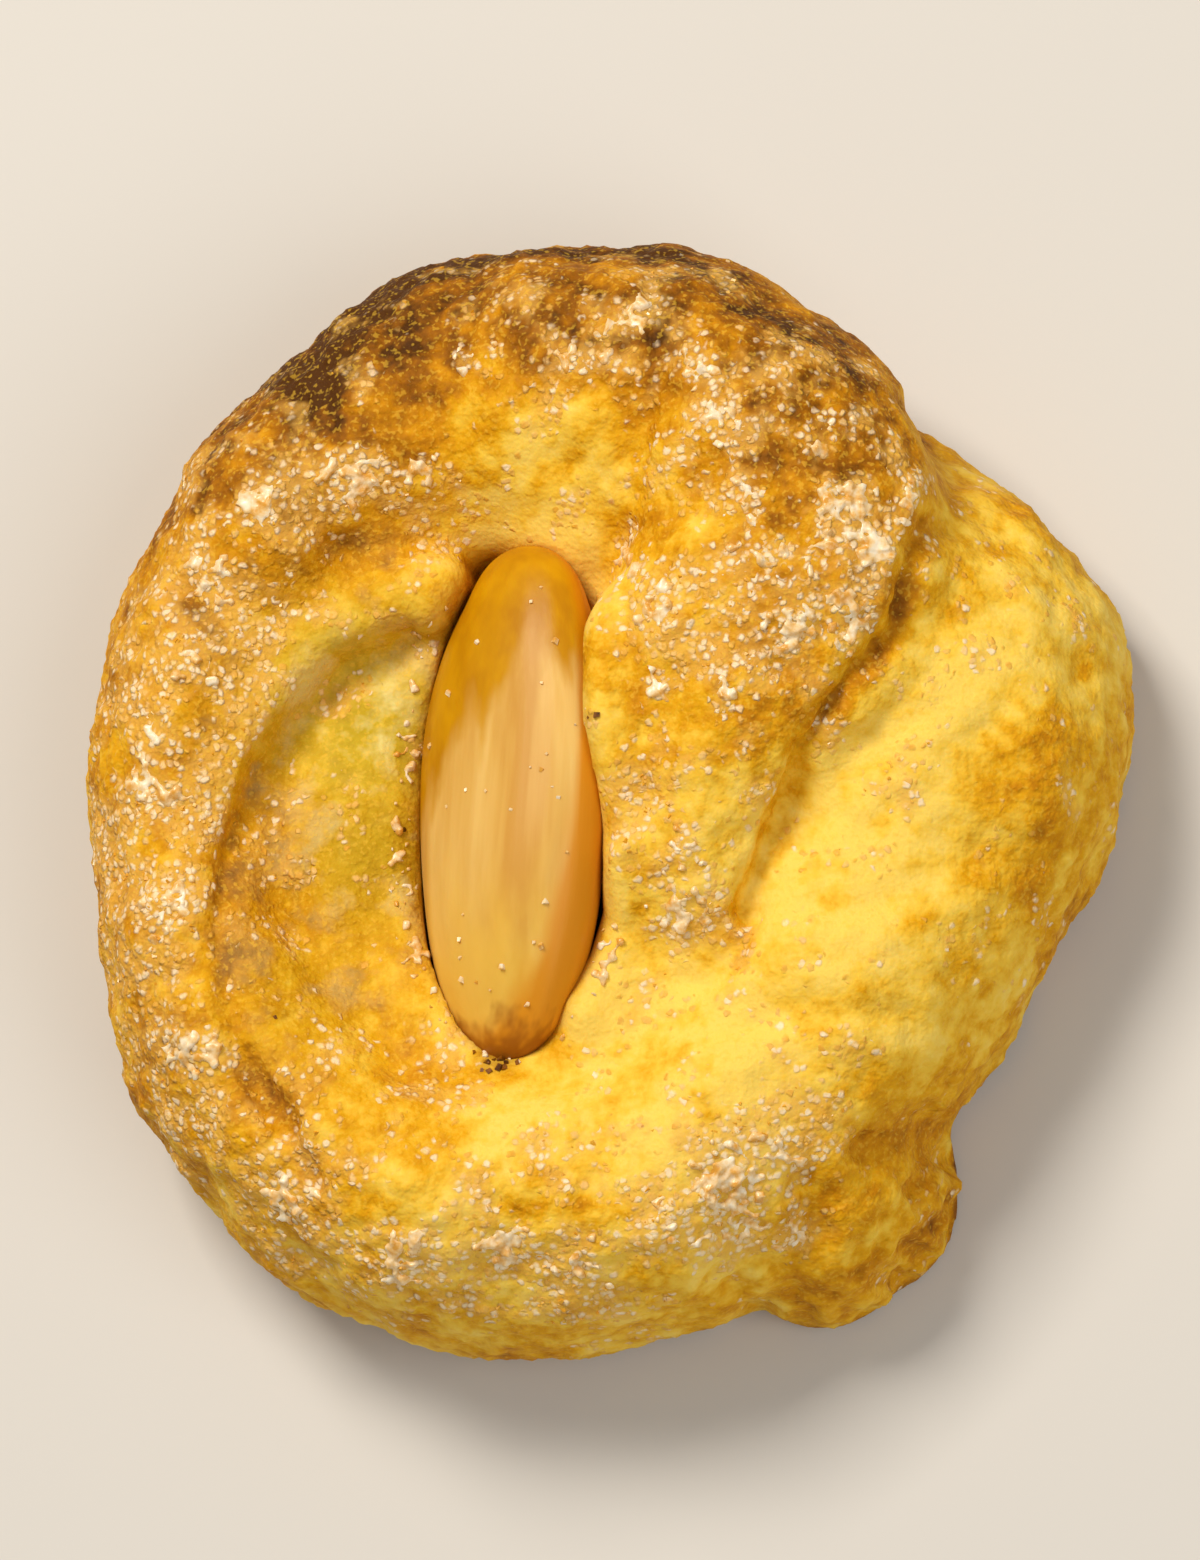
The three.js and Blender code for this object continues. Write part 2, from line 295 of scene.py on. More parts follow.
def shape_kernel(name, segments, rings, growth=0.0):
    """A kernel in its place, growth millimetres thicker all round."""
    bpy.ops.object.select_all(action="DESELECT")
    bpy.ops.mesh.primitive_uv_sphere_add(
        segments=segments, ring_count=rings, radius=MM, rotation=(-math.pi / 2, 0, 0),
    )
    kernel = bpy.context.object
    kernel.name = name
    bpy.ops.object.transform_apply(location=True, rotation=True, scale=True)
    for ring in range(1, rings):
        lengthwise = math.cos(math.pi * ring / rings)
        bpy.ops.object.mode_set(mode="EDIT")
        bpy.ops.mesh.select_all(action="DESELECT")
        bpy.ops.object.mode_set(mode="OBJECT")
        for vertex in kernel.data.vertices:
            vertex.select = abs(vertex.co.y / MM - lengthwise) < 0.2 / rings**2  # this ring alone
        bpy.ops.object.mode_set(mode="EDIT")
        grow = girth(lengthwise) / math.sqrt(1 - lengthwise**2)
        bpy.ops.transform.resize(value=(grow, 1, grow), center_override=(0, lengthwise * MM, 0))
    bpy.ops.mesh.select_all(action="SELECT")
    size = [length / 2 + growth for length in (ALMOND_WIDTH, ALMOND_LENGTH, ALMOND_THICKNESS)]
    bpy.ops.transform.resize(value=size, center_override=(0, 0, 0))
    turn(ALMOND_ROLL, "Y", (0, 0, 0))
    turn(ALMOND_PITCH, "X", (0, 0, 0))
    turn(ALMOND_TURN, "Z", (0, 0, 0))
    bpy.ops.transform.translate(value=ALMOND_CENTRE * MM)
    bpy.ops.object.mode_set(mode="OBJECT")
    print(name, triangles(kernel), "triangles")
    return kernel


def settle_order(piece):
    """Lists the faces in one order, because a new sphere's differ from run to run, and scatter follows them."""
    corners = [vertex.co.copy() for vertex in piece.data.vertices]
    faces = []
    for polygon in piece.data.polygons:
        face = list(polygon.vertices)
        first = face.index(min(face))
        faces.append(face[first:] + face[:first])
    piece.data.clear_geometry()
    piece.data.from_pydata(corners, [], sorted(faces))


# %% The kernel, and how far it lies from where the imported model has it
almond = shape_kernel("almond_kernel", 96, 72)
settle_order(almond)
made = [Vector(corner) for corner in almond.bound_box]
made_middle = sum(made, Vector()) / len(made)
to_frame = almond_middle - made_middle
to_frame.z = 0
print("the packed model lies this far from the stations, mm:", [round(v / MM, 2) for v in to_frame])

# %% [markdown]
# ## Fusing the turns
# In the oven the turns swell into each other. A boolean union would leave knife-sharp seams, so
# the ropes are joined and remeshed into voxels finer than the seam, and then smoothed, which
# closes the seams to soft creases. The almond's pocket is cut next, while its rim can still be
# rounded by the second, finer remesh.

# %% Fuse the ropes and press in the almond
FLOOR = {"x": -2.5, "y": -1.0, "radius_x": 15, "radius_y": 16, "crest": 8.4, "low": -2}
POCKET_GROWTH = -0.12  # the pocket is this much tighter than the almond, so the dough closes round it
FIRST_VOXEL, LAST_VOXEL = 0.5, 0.33

bpy.ops.object.select_all(action="DESELECT")
bpy.ops.mesh.primitive_uv_sphere_add(
    segments=48, ring_count=24, radius=MM,
    location=(FLOOR["x"] * MM, FLOOR["y"] * MM, (FLOOR["crest"] + FLOOR["low"]) / 2 * MM),
    scale=(FLOOR["radius_x"], FLOOR["radius_y"], (FLOOR["crest"] - FLOOR["low"]) / 2),
)
for rope in ropes:
    rope.select_set(True)
dough = bpy.context.object
bpy.ops.object.join()
dough.name = "baked_dough"
bpy.ops.object.transform_apply(location=True, rotation=True, scale=True)
modify(dough, "REMESH", mode="VOXEL", voxel_size=FIRST_VOXEL * MM)
modify(dough, "SMOOTH", factor=0.5, iterations=5)
print("fused dough", triangles(dough), "triangles")

# %% [markdown]
# ## Relief of the crust
# Dough doesn't swell evenly. Its surface has swellings of a rope's width, puckers of a few
# millimetres and a crumb of less than one. Each is a Displace modifier with a noise of that
# size, applied from the coarsest to the finest, and masked where the dough stays smooth.


# %% Read and write points as numbers, in the stations' millimetres
def read_points(piece):
    flat = np.empty(len(piece.data.vertices) * 3)
    piece.data.vertices.foreach_get("co", flat)
    return flat.reshape(-1, 3) / MM


def write_points(piece, points):
    piece.data.vertices.foreach_set("co", (points * MM).astype(np.float32).ravel())
    piece.data.update()


def read_normals(piece):
    flat = np.empty(len(piece.data.vertices) * 3, np.float32)
    piece.data.vertex_normals.foreach_get("vector", flat)
    return flat.reshape(-1, 3).astype(float)


def rise(low, high, values):
    """0 below low, 1 above high, and an easy slope between."""
    t = np.clip((values - low) / (high - low), 0, 1)
    return t * t * (3 - 2 * t)


def distance_to(path, points):
    """Distance in plan of each point from a line through a few places."""
    nearest = np.full(len(points), 1e9)
    plan, path = points[:, :2], np.array(path, float)[:, :2]
    for a, b in zip(path, path[1:]):
        along = np.clip(((plan - a) @ (b - a)) / ((b - a) @ (b - a)), 0, 1)
        nearest = np.minimum(nearest, np.linalg.norm(plan - a - along[:, None] * (b - a), axis=1))
    return nearest


def paint_group(piece, name, weights, levels=16):
    """A vertex group from one weight a vertex, rounded to a few levels to be quick."""
    group = piece.vertex_groups.new(name=name)
    level = np.round(np.clip(weights, 0, 1) * levels).astype(int)
    for step in range(1, levels + 1):
        chosen = np.nonzero(level == step)[0].tolist()
        if chosen:
            group.add(chosen, step / levels, "REPLACE")


def swell(piece, name, kind, size, height, group="", measure=None, **settings):
    """Raises the surface by a noise of this size and height in mm, stretched as the measure is."""
    texture = bpy.data.textures.new(name, kind)
    texture.noise_scale = size * MM
    for key, value in settings.items():
        setattr(texture, key, value)
    modify(
        piece, "DISPLACE", texture=texture, texture_coords="OBJECT" if measure else "LOCAL",
        texture_coords_object=measure, strength=height * MM, mid_level=0.5, vertex_group=group,
    )


# %% Swellings, then the almond's pocket
swell(dough, "swellings", "CLOUDS", 7.0, 1.6)
pocket = shape_kernel("pocket", 64, 48, POCKET_GROWTH)
modify(dough, "BOOLEAN", operation="DIFFERENCE", solver="MANIFOLD", object=pocket)
bpy.data.objects.remove(pocket)
only(dough)
bpy.ops.object.mode_set(mode="EDIT")
bpy.ops.mesh.select_all(action="SELECT")
bpy.ops.mesh.bisect(plane_co=(0, 0, 0), plane_no=(0, 0, 1), clear_inner=True, use_fill=True)
bpy.ops.object.mode_set(mode="OBJECT")
modify(dough, "REMESH", mode="VOXEL", voxel_size=LAST_VOXEL * MM)
modify(dough, "SMOOTH", factor=0.5, iterations=2)
print("dough with its pocket", triangles(dough), "triangles")


def in_kernel(points):
    """Points in the almond's own frame: x across, y lengthwise and z through it, each 1 at its skin."""
    local = (points - np.array(ALMOND_CENTRE)) @ np.array(ALMOND_AXES)
    lengthwise = np.clip(local[:, 1] / (ALMOND_LENGTH / 2), -1, 1)
    fullness = np.where(lengthwise > 0, BLUNT_END, POINTED_END)
    girths = np.sqrt(np.clip(1 - np.abs(lengthwise) ** fullness, 1e-4, 1))
    return np.column_stack([
        local[:, 0] / (ALMOND_WIDTH / 2 * girths), lengthwise, local[:, 2] / (ALMOND_THICKNESS / 2 * girths),
    ])


def from_almond(points):
    """About how far each point is from the almond's skin, in millimetres."""
    kernel = in_kernel(points)
    return (np.hypot(kernel[:, 0], kernel[:, 2]) - 1) * ALMOND_THICKNESS / 2


# the knife-sharp rim of the pocket is rounded alone
paint_group(dough, "rim", 1 - rise(0.5, 1.6, from_almond(read_points(dough))))
modify(dough, "SMOOTH", factor=0.5, iterations=6, vertex_group="rim")

# %% Creases and dents, stroke by stroke
# Each stroke is a few places in plan, its width, how far it stands (less than 0 sinks), and how
# far down the wall it reaches, all in millimetres.
STROKES = [
    # the arm's edge over the band, round its tip, and its seam at the top
    ([(15.0, 12.9), (13.5, 7.3), (11.6, 5.4), (9.3, 2.0), (7.4, -2.2), (6.1, -5.4)], 0.55, -0.9, 6),
    ([(6.1, -5.4), (5.5, -7.7), (4.0, -8.7), (2.8, -8.3)], 0.5, -0.35, 6),
    ([(-1.2, 11.0), (0.8, 14.1), (1.4, 17.5), (2.5, 20.5)], 0.9, -0.5, 6),
    # the step down from the rim to the hollow, and two dents in the rim
    ([
        (-10.0, 8.8), (-11.0, 7.9), (-13.4, 7.0), (-15.7, 4.4), (-17.1, 2.4), (-18.5, -1.5), (-19.0, -6.0),
        (-17.9, -11.5), (-15.6, -15.2),
    ], 0.6, -0.6, 6),
    ([(-16.4, 17.0), (-14.6, 14.6), (-13.4, 12.6)], 1.1, -0.55, 6),
    ([(-17.5, -12.7), (-15.8, -15.4), (-14.5, -17.6)], 0.8, -0.5, 6),
    # under the band: the seam, then grooves and folds of the wall
    ([(11.0, -16.4), (13.0, -15.6), (15.2, -14.9), (16.8, -13.8)], 0.8, -0.55, 3),
    ([(14.2, -15.8), (13.5, -17.6), (13.9, -19.2), (12.8, -21.6)], 0.7, -0.7, 0),
    ([(16.0, -16.6), (15.4, -18.2)], 0.6, -0.4, 0),
    ([(10.2, -21.4), (11.6, -20.2), (12.4, -18.6)], 0.6, -0.35, 0),
    ([(8.5, -17.8), (8.9, -19.8)], 0.8, -0.5, 0),
    ([(7.2, -22.4), (7.6, -25.0)], 0.6, -0.35, 0),
    ([(11.2, -20.4), (11.8, -23.4)], 0.6, -0.35, 0),
    ([(10.6, -17.6), (10.0, -18.8)], 1.0, 0.35, 0),
    ([(14.9, -19.4), (14.4, -20.8)], 0.8, 0.3, 0),
    ([(4.8, -22.5), (5.0, -26.0)], 0.8, -0.5, 0),
    # dough that the almond pushed up beside its tip and over its shoulder
    ([(0.7, -2.4), (0.5, -5.0), (-0.5, -7.6), (-1.8, -9.8)], 1.1, 1.3, 6),
    ([(-9.5, 9.6), (-8.6, 11.4)], 0.9, 0.7, 6),
    # wrinkles of the start of the coil, along the roll
    ([(14.0, 19.3), (15.7, 16.3), (15.6, 12.9)], 0.8, -0.6, 3),
    ([(16.5, 14.2), (20.5, 10.6), (21.6, 6.4)], 0.9, -0.4, 3),
    ([(12.0, -1.5), (15.5, 1.0), (18.5, 4.5)], 1.0, -0.3, 3),
    ([(8.5, -5.5), (12.5, -5.0), (17.0, -2.5)], 1.0, -0.3, 3),
    ([(6.0, -10.5), (9.5, -10.0), (13.5, -10.5)], 0.9, -0.35, 3),
    # the floor of the hollow, and the outer wall at the lower left
    ([(-11.8, -3.6), (-12.6, -8.0), (-10.6, -12.6)], 1.0, -0.35, 6),
    ([(-20.5, -17.0), (-16.0, -20.5), (-13.0, -24.0)], 0.9, -0.4, 0),
]
FADE = 3  # mm of height over which a stroke fades out down the wall

creased = np.zeros(len(dough.data.vertices))
for path, width, standing, lowest in STROKES:
    points = read_points(dough)
    weight = np.exp(-((distance_to(path, points) / width) ** 2)) * rise(lowest, lowest + FADE, points[:, 2])
    write_points(dough, points + read_normals(dough) * (weight * standing)[:, None])
    creased = np.maximum(creased, weight * rise(-0.3, -1.0, standing))  # dents alone, the deepest most
print(len(STROKES), "strokes")

# %% Where the dough lies smooth and where it has crusted
# The outer side of the coil and the arm crusted. The inner side, the start of the coil, the
# rim of the pocket and the base stay smoother.
points = read_points(dough)
normals = read_normals(dough)
away = points[:, :2] - np.array([FLOOR["x"], FLOOR["y"]])
away /= np.linalg.norm(away, axis=1)[:, None] + 1e-9
outward = (normals[:, :2] * away).sum(axis=1)
on_arm = rise(1.0, -1.2, distance_to([s[:2] for s in ARM[2:]], points) - 6.2) * rise(13.2, 14.6, points[:, 2])
on_start = rise(1.5, -1.5, distance_to([s[:2] for s in RING[:5]], points) - 7.5) * (1 - on_arm)
crusted = np.maximum(rise(-0.5, 0.15, outward) * (1 - 0.75 * on_start), on_arm)
off_almond = rise(0.0, 1.5, distance_to([(-4.0, 10.0), (-6.0, -10.0)], points) - 4.8)
off_base = rise(0.3, 1.5, points[:, 2])
paint_group(dough, "crusted", (0.35 + 0.65 * crusted) * off_almond * off_base)

# %% Folds that hang down under the band, then the puckers and the crumb
steep = rise(0.6, 0.1, normals[:, 2])
under_band = np.exp(-((np.hypot(points[:, 0] - 12.5, points[:, 1] + 19.0) / 6.0) ** 2))
paint_group(dough, "folded", steep * off_base * under_band)
bpy.ops.object.empty_add(location=(0, 0, 0))
upright = bpy.context.object
upright.scale = (1, 1, 3.5)  # measures the noise, so that it is this much taller than wide
bpy.context.view_layer.update()
swell(dough, "folds", "CLOUDS", 1.2, 1.5, "folded", upright, noise_depth=1)
bpy.data.objects.remove(upright)
swell(dough, "puckers", "CLOUDS", 2.4, 0.55, "crusted", noise_depth=2)
swell(dough, "crumb", "CLOUDS", 0.85, 0.42, "crusted", noise_depth=1)

# %% Flatten the side that lay on the baking sheet
FLATTENED = 0.15  # mm, what lies lower touched the sheet

only(dough)
bpy.ops.object.mode_set(mode="EDIT")
bpy.ops.mesh.select_all(action="DESELECT")
bpy.ops.object.mode_set(mode="OBJECT")
for vertex in dough.data.vertices:
    vertex.select = vertex.co.z < FLATTENED * MM
bpy.ops.object.mode_set(mode="EDIT")
bpy.ops.transform.resize(value=(1, 1, 0), center_override=(0, 0, 0))
bpy.ops.object.mode_set(mode="OBJECT")
print("dough", triangles(dough), "triangles")

# %% [markdown]
# ## How it baked
# What faced up and out browned, what lay in the hollow or under the arm stayed pale, and the
# sugar stuck where the baker pressed the roll into it. Each is stored as a number on every
# vertex, which the materials and the scatter of sugar read. They are set as a painter would do
# it, in soft dabs: a place in plan, how far it browned, and how much sugar it holds. Browned is
# 0 for pale yellow, 0.5 for golden and 1 for dark brown, and values past the two ends make sure.

# %% Dabs: x, y, browned, sugared
RING_DABS = [
    (-20.5, 9, 0.58, 0.80), (-22.5, -2, 0.50, 0.92), (-21.5, -11, 0.48, 0.88), (-17.5, -18, 0.40, 0.82),
    # painted light: the lump at (1.5, -21), (4.5, -18.2) and (7.0, -16.0) is browned less, so it stands bright
    # though it faces away from the window
    (-11, -21.5, 0.26, 0.85), (-4, -21, 0.26, 0.78), (1.5, -21, 0.18, 0.85), (4.5, -18.2, 0.12, 1.00),
    # partly painted shadow: the top of the coil at (-11.5, 22) and (-3, 24.5) is browned past 1, real browning
    # darkened further by a painted shadow cast from beside it
    (7.0, -16.0, 0.14, 0.90), (8.5, -22.5, 0.42, 0.15), (-16, 15, 0.78, 0.55), (-11.5, 22, 1.20, 0.12),
    (-3, 24.5, 1.10, 0.22), (-8, 19.5, 0.54, 0.52),
    (-2.75, 15.0, -0.10, 0.06), (-9.5, 15.8, 0.50, 0.45), (-10.0, 11.2, 0.42, 0.22), (-13, 5, 0.10, 0.12),
    (-5.5, 14.5, -0.06, 0.10), (-0.5, 13.0, 0.00, 0.12), (-6.5, 17.5, 0.35, 0.35),
    (-12.5, -2, 0.50, 0.04), (-14, -7, 0.52, 0.08), (-10.5, -7, 0.26, 0.05), (-9.5, -14, 0.26, 0.30),
    (-15.2, -13.5, 0.46, 0.45), (-5, -15.8, 0.16, 0.28), (0, -13, 0.06, 0.16), (2, -10, 0.00, 0.05),
    (5, -9, -0.08, 0.06), (9, -6, -0.04, 0.10), (12.5, 0, 0.06, 0.18), (17, 7, -0.02, 0.22),
    (21.5, 8, 0.22, 0.15), (20.5, 0, 0.42, 0.03), (13.5, -10, 0.20, 0.06), (17.5, 13, 0.30, 0.15),
    (14, -17, 0.54, 0.0), (11.5, -20, 0.48, 0.0), (4, -15, 0.16, 0.35), (-20, 3, 0.52, 0.80), (8, 22, 0.74, 0.30),
]
ARM_DABS = [
    (-3, 22, 0.74, 0.46), (2, 22.5, 0.86, 0.50), (5.1, 17.5, 0.52, 0.70), (9, 20, 0.92, 0.26),
    (12, 15, 0.68, 0.38), (14, 12, 0.50, 0.75), (9, 8, 0.52, 0.80), (5, 12.5, 0.50, 0.42),
    (1.8, 12, 0.40, 0.60), (2, 6, 0.42, 0.48), (7.5, 3, 0.44, 0.45), (5.2, -1.5, 0.08, 0.40),
    (1.4, 0, 0.28, 0.48), (2.4, -6, 0.20, 0.75), (0.2, 3.5, 0.30, 0.15), (-2.75, 15.0, -0.10, 0.06),
    (-5.5, 14.5, 0.05, 0.12), (-0.5, 12.5, 0.20, 0.20), (-6.5, 17.5, 0.40, 0.40), (-10, 20, 0.76, 0.36),
]
DAB_SPREAD = 3.0  # mm
# moist pale dough of the hollow, its olive colour darkened as painted shade where the rim overhangs it
MOIST_SHADED = [(-12.4, 4.5, 5.2, 1.0), (-12.0, -1.5, 4.6, 0.75), (-14.5, -8, 4.0, 0.35)]  # x, y, radius, amount
HEAPS = [  # where the coarsest sugar heaped: x, y and radius
    (8.4, 7.0, 1.7), (10.8, 8.0, 1.7), (12.6, 10.6, 1.8), (9.8, 10.6, 2.0), (7.4, 9.6, 1.4), (13.8, 13.2, 1.2),
    (11.6, 13.4, 1.2), (5.0, 17.2, 1.4), (4.6, 20.0, 1.1), (0.9, 10.8, 1.3), (2.2, 8.4, 0.9), (2.4, -5.0, 1.3),
    (3.4, -2.6, 0.9), (5.4, -18.6, 2.0), (2.8, -20.4, 1.5), (7.2, -16.8, 1.2), (-7.2, 21.4, 1.1),
    (-1.6, 22.6, 1.0), (1.2, 22.8, 0.9), (-1.4, 20.6, 1.0), (-12.3, 15.8, 1.3), (-9.4, 16.0, 0.8),
    (-19.4, 11.4, 1.2), (-16.8, 14.6, 1.0), (-22.4, 1.6, 1.6), (-21.6, -4.4, 1.6), (-20.4, -11.2, 1.4),
    (-16.0, -18.8, 1.3), (-10.4, -21.0, 1.3), (-5.4, -20.6, 1.1), (-1.6, -21.8, 1.0), (2.4, 4.8, 0.8),
    (5.6, 4.0, 0.8), (6.6, 13.4, 1.0), (10.4, 16.4, 1.0), (-19.6, 6.2, 1.1),
]
SPECKS = [(-10.9, -0.6, 0.22), (-10.3, -4.2, 0.22), (-0.9, 3.4, 0.22), (-15.8, -9.8, 0.22)]  # burnt: x, y, radius


def blend(dabs, points):
    """Between the dabs, each point takes the mean of those near it."""
    near = np.stack([
        np.exp(-((np.hypot(points[:, 0] - x, points[:, 1] - y) / DAB_SPREAD) ** 2) / 2) for x, y, *_ in dabs
    ])
    near = near**1.5 + 1e-9
    return [(near * np.array([dab[k] for dab in dabs])[:, None]).sum(axis=0) / near.sum(axis=0) for k in (2, 3)]


def spots(places, points):
    """1, or the spot's own amount, at the middle of each spot, fading over its radius."""
    return np.max([
        (amount[0] if amount else 1) * np.exp(-((np.hypot(points[:, 0] - x, points[:, 1] - y) / radius) ** 2))
        for x, y, radius, *amount in places
    ], axis=0)


def relax(values, edges, rounds):
    """Evens out a value or a place over the mesh, each vertex with its neighbours."""
    neighbours = np.bincount(edges.ravel(), minlength=len(values))[:, None] + 1
    values = values.reshape(len(values), -1)
    for _ in range(rounds):
        total = values.copy()
        for k in range(values.shape[1]):
            total[:, k] += np.bincount(edges[:, 0], values[edges[:, 1], k], len(values))
            total[:, k] += np.bincount(edges[:, 1], values[edges[:, 0], k], len(values))
        values = total / neighbours
    return values


def store(piece, name, values):
    """Keeps numbers on the vertices, one each or three."""
    kind, key = ("FLOAT", "value") if values.ndim == 1 else ("FLOAT_VECTOR", "vector")
    attribute = piece.data.attributes.new(name, kind, "POINT")
    attribute.data.foreach_set(key, values.astype(np.float32).ravel())


# %% Browning and sugar on the dough
points = read_points(dough)
normals = read_normals(dough)
edges = np.empty(len(dough.data.edges) * 2, int)
dough.data.edges.foreach_get("vertices", edges)
edges = edges.reshape(-1, 2)
RAISED = 0.12  # mm above its surroundings, where a crumb counts as raised
raised = ((points - relax(points, edges, 12)) * normals).sum(axis=1) / RAISED

# the arm has dabs of its own, inside an edge that follows its half width from its tip up
ring_browned, ring_sugared = blend(RING_DABS, points)
arm_browned, arm_sugared = blend(ARM_DABS, points)
half_width = np.interp(points[:, 1], [-8, 0, 6, 14, 20], [2.4, 4.6, 7.0, 6.9, 7.0])
inside_arm = rise(0.6, -0.6, distance_to([s[:2] for s in ARM[1:]], points) - half_width)
inside_arm *= rise(12.0, 13.6, points[:, 2])
browned = ring_browned * (1 - inside_arm) + arm_browned * inside_arm
sugared = ring_sugared * (1 - inside_arm) + arm_sugared * inside_arm

# the walls took an even gold, and the edge that lay on the hot sheet is the brownest
facing_up = rise(-0.05, 0.55, normals[:, 2])
browned = browned * facing_up + (0.22 + 0.42 * browned) * (1 - facing_up)
# painted shade: dents and creases are browned a little more, and the crumb's hollows more than its bumps, which
# stand lighter
browned = browned + 0.06 * creased - 0.07 * np.clip(raised, -0.8, 2)
near_sheet = rise(2.6, 0.2, points[:, 2])
browned = np.maximum(browned, 0.78 * near_sheet)
upper = rise(0.15, 0.6, normals[:, 2]) * rise(4, 9, points[:, 2])
sugared = sugared * upper * (1 - 0.8 * creased)
heaped = spots(HEAPS, points) * upper

# %% What lies near the almond: moist dough, darker with painted shade, browning and painted shade at its edge, sugar along its edge, and toasted crumbs at its tip
# moist dough of the hollow, with painted shade where the rim overhangs it
moist = spots(MOIST_SHADED, points) * (1 - inside_arm)
skin_distance = from_almond(points)
# partly browning, partly painted shade in the crevice where the dough meets the almond
touching = rise(1.0, 0.2, skin_distance)
left_or_low = np.maximum(rise(-4.5, -5.5, points[:, 0]), rise(-5, -7, points[:, 1]))
hugging = rise(0.25, 0.5, skin_distance) * rise(1.5, 0.9, skin_distance) * upper * left_or_low
tip = np.array(ALMOND_CENTRE - ALMOND_AXES @ Vector((0, ALMOND_LENGTH / 2, 0)))
caught = np.maximum(rise(2.0, 1.2, np.linalg.norm(points - tip, axis=1)), spots(SPECKS, points)) * upper
for name, values in (
    ("browned", browned), ("sugared", sugared), ("heaped", heaped), ("moist", moist), ("touching", touching),
    ("hugging", hugging), ("caught", caught),
):
    store(dough, name, values)
print("mean browning", round(float(browned.mean()), 2), "mean sugar", round(float(sugared.mean()), 2))

# %% The kernel's own frame for the streaks, its slight unevenness, and the grains that fell on it
kernel = in_kernel(read_points(almond))
turned = np.arctan2(kernel[:, 2], kernel[:, 0])
along = kernel[:, 1]
VEINS = ((7, 0.8, 0.4), (11, -0.5, 2.1), (17, 0.6, 4.0))  # how many round it, how they bend, where they start
veins = sum(np.cos(count * turned + bend * along + start) for count, bend, start in VEINS)
uneven = 0.16 * np.cos(3.4 * along + 0.8 + np.cos(turned)) + 0.12 * np.cos(2 * turned + 5.0 * along)
height = (0.012 * veins + uneven - 0.15) * rise(1.0, 0.75, np.abs(along))  # mm, none at the ends
write_points(almond, read_points(almond) + read_normals(almond) * height[:, None])
slender = np.sqrt(np.clip(1 - along**2, 0, 1))
store(almond, "kernel", np.column_stack([np.cos(turned) * slender, along, np.sin(turned) * slender]))
store(almond, "strewn", rise(0.3, 0.7, read_normals(almond)[:, 2]) * rise(0.95, 0.8, np.abs(along)))

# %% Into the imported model's place
for piece in (dough, almond):
    only(piece)
    bpy.ops.object.mode_set(mode="EDIT")
    bpy.ops.mesh.select_all(action="SELECT")
    bpy.ops.transform.translate(value=to_frame)
    bpy.ops.object.mode_set(mode="OBJECT")
    bpy.ops.object.shade_smooth()

# %% [markdown]
# ## Finishes
# Each finish starts from what the real thing is. One function turns the hex colours, as a
# screen shows them, to the linear values that Blender mixes, and one adds a node with its
# settings and links, so that a finish reads from top to bottom as its nodes do.

# %% Tools for materials
def linear(hex_colour):
    channels = [int(hex_colour[i:i + 2], 16) / 255 for i in (1, 3, 5)]
    return [c / 12.92 if c <= 0.04045 else ((c + 0.055) / 1.055) ** 2.4 for c in channels] + [1]


def add(tree, kind, inputs=None, output=0, stops=(), **settings):
    """Adds a node with its settings and links, and gives the output that is wanted of it.

    An input is a value or another node's output. Stops are a colour ramp's places and colours.
    """
    node = tree.nodes.new(kind)
    for name, value in settings.items():
        setattr(node, name, value)
    for key, value in (inputs or {}).items():
        if isinstance(value, bpy.types.NodeSocket):
            tree.links.new(value, node.inputs[key])
        else:
            node.inputs[key].default_value = value
    for number, (place, colour) in enumerate(stops):
        elements = node.color_ramp.elements
        element = elements[number] if number < len(elements) else elements.new(place)
        element.position, element.color = place, linear(colour)
    return node.outputs[output] if len(node.outputs) else node


def new_material(name):
    material = bpy.data.materials.new(name)
    material.use_nodes = True
    material.node_tree.nodes.clear()
    return material, material.node_tree


# %% [markdown]
# ### Baked biscuit dough
# Egg-yellow dough, pale where it stayed moist and soft, golden to brown where the oven reached
# it. The browning is uneven at two sizes: patches of a few millimetres and the crumb itself.
# Painted shade darkens the moist hollow to olive and the pocket's edge to brown.

# %% Baked biscuit dough: the crust under the sugar
CLUSTER = 2.8  # mm, the width of a cluster of sugar, the same in the crust and in the scatter
CLUSTERING = 4.0  # how much the clusters count against the stored amount of sugar, in both

dough_finish, tree = new_material("baked biscuit dough, half melted sugar")
place = add(tree, "ShaderNodeTexCoord", output="Object")
browned_here, sugared_here, heaped_here, moist_shaded_here, pocket_brown_and_shade_here, caught_here = (
    add(tree, "ShaderNodeAttribute", output="Fac", attribute_name=name)
    for name in ("browned", "sugared", "heaped", "moist", "touching", "caught")
)
patches = add(tree, "ShaderNodeTexNoise", {
    "Vector": place, "Scale": 1 / (3.2 * MM), "Detail": 4.0, "Roughness": 0.6,
})
crumb = add(tree, "ShaderNodeTexNoise", {
    "Vector": place, "Scale": 1 / (0.9 * MM), "Detail": 2.5, "Roughness": 0.6,
})
fine = add(tree, "ShaderNodeTexNoise", {
    "Vector": place, "Scale": 1 / (0.26 * MM), "Detail": 1.0, "Roughness": 0.5,
})
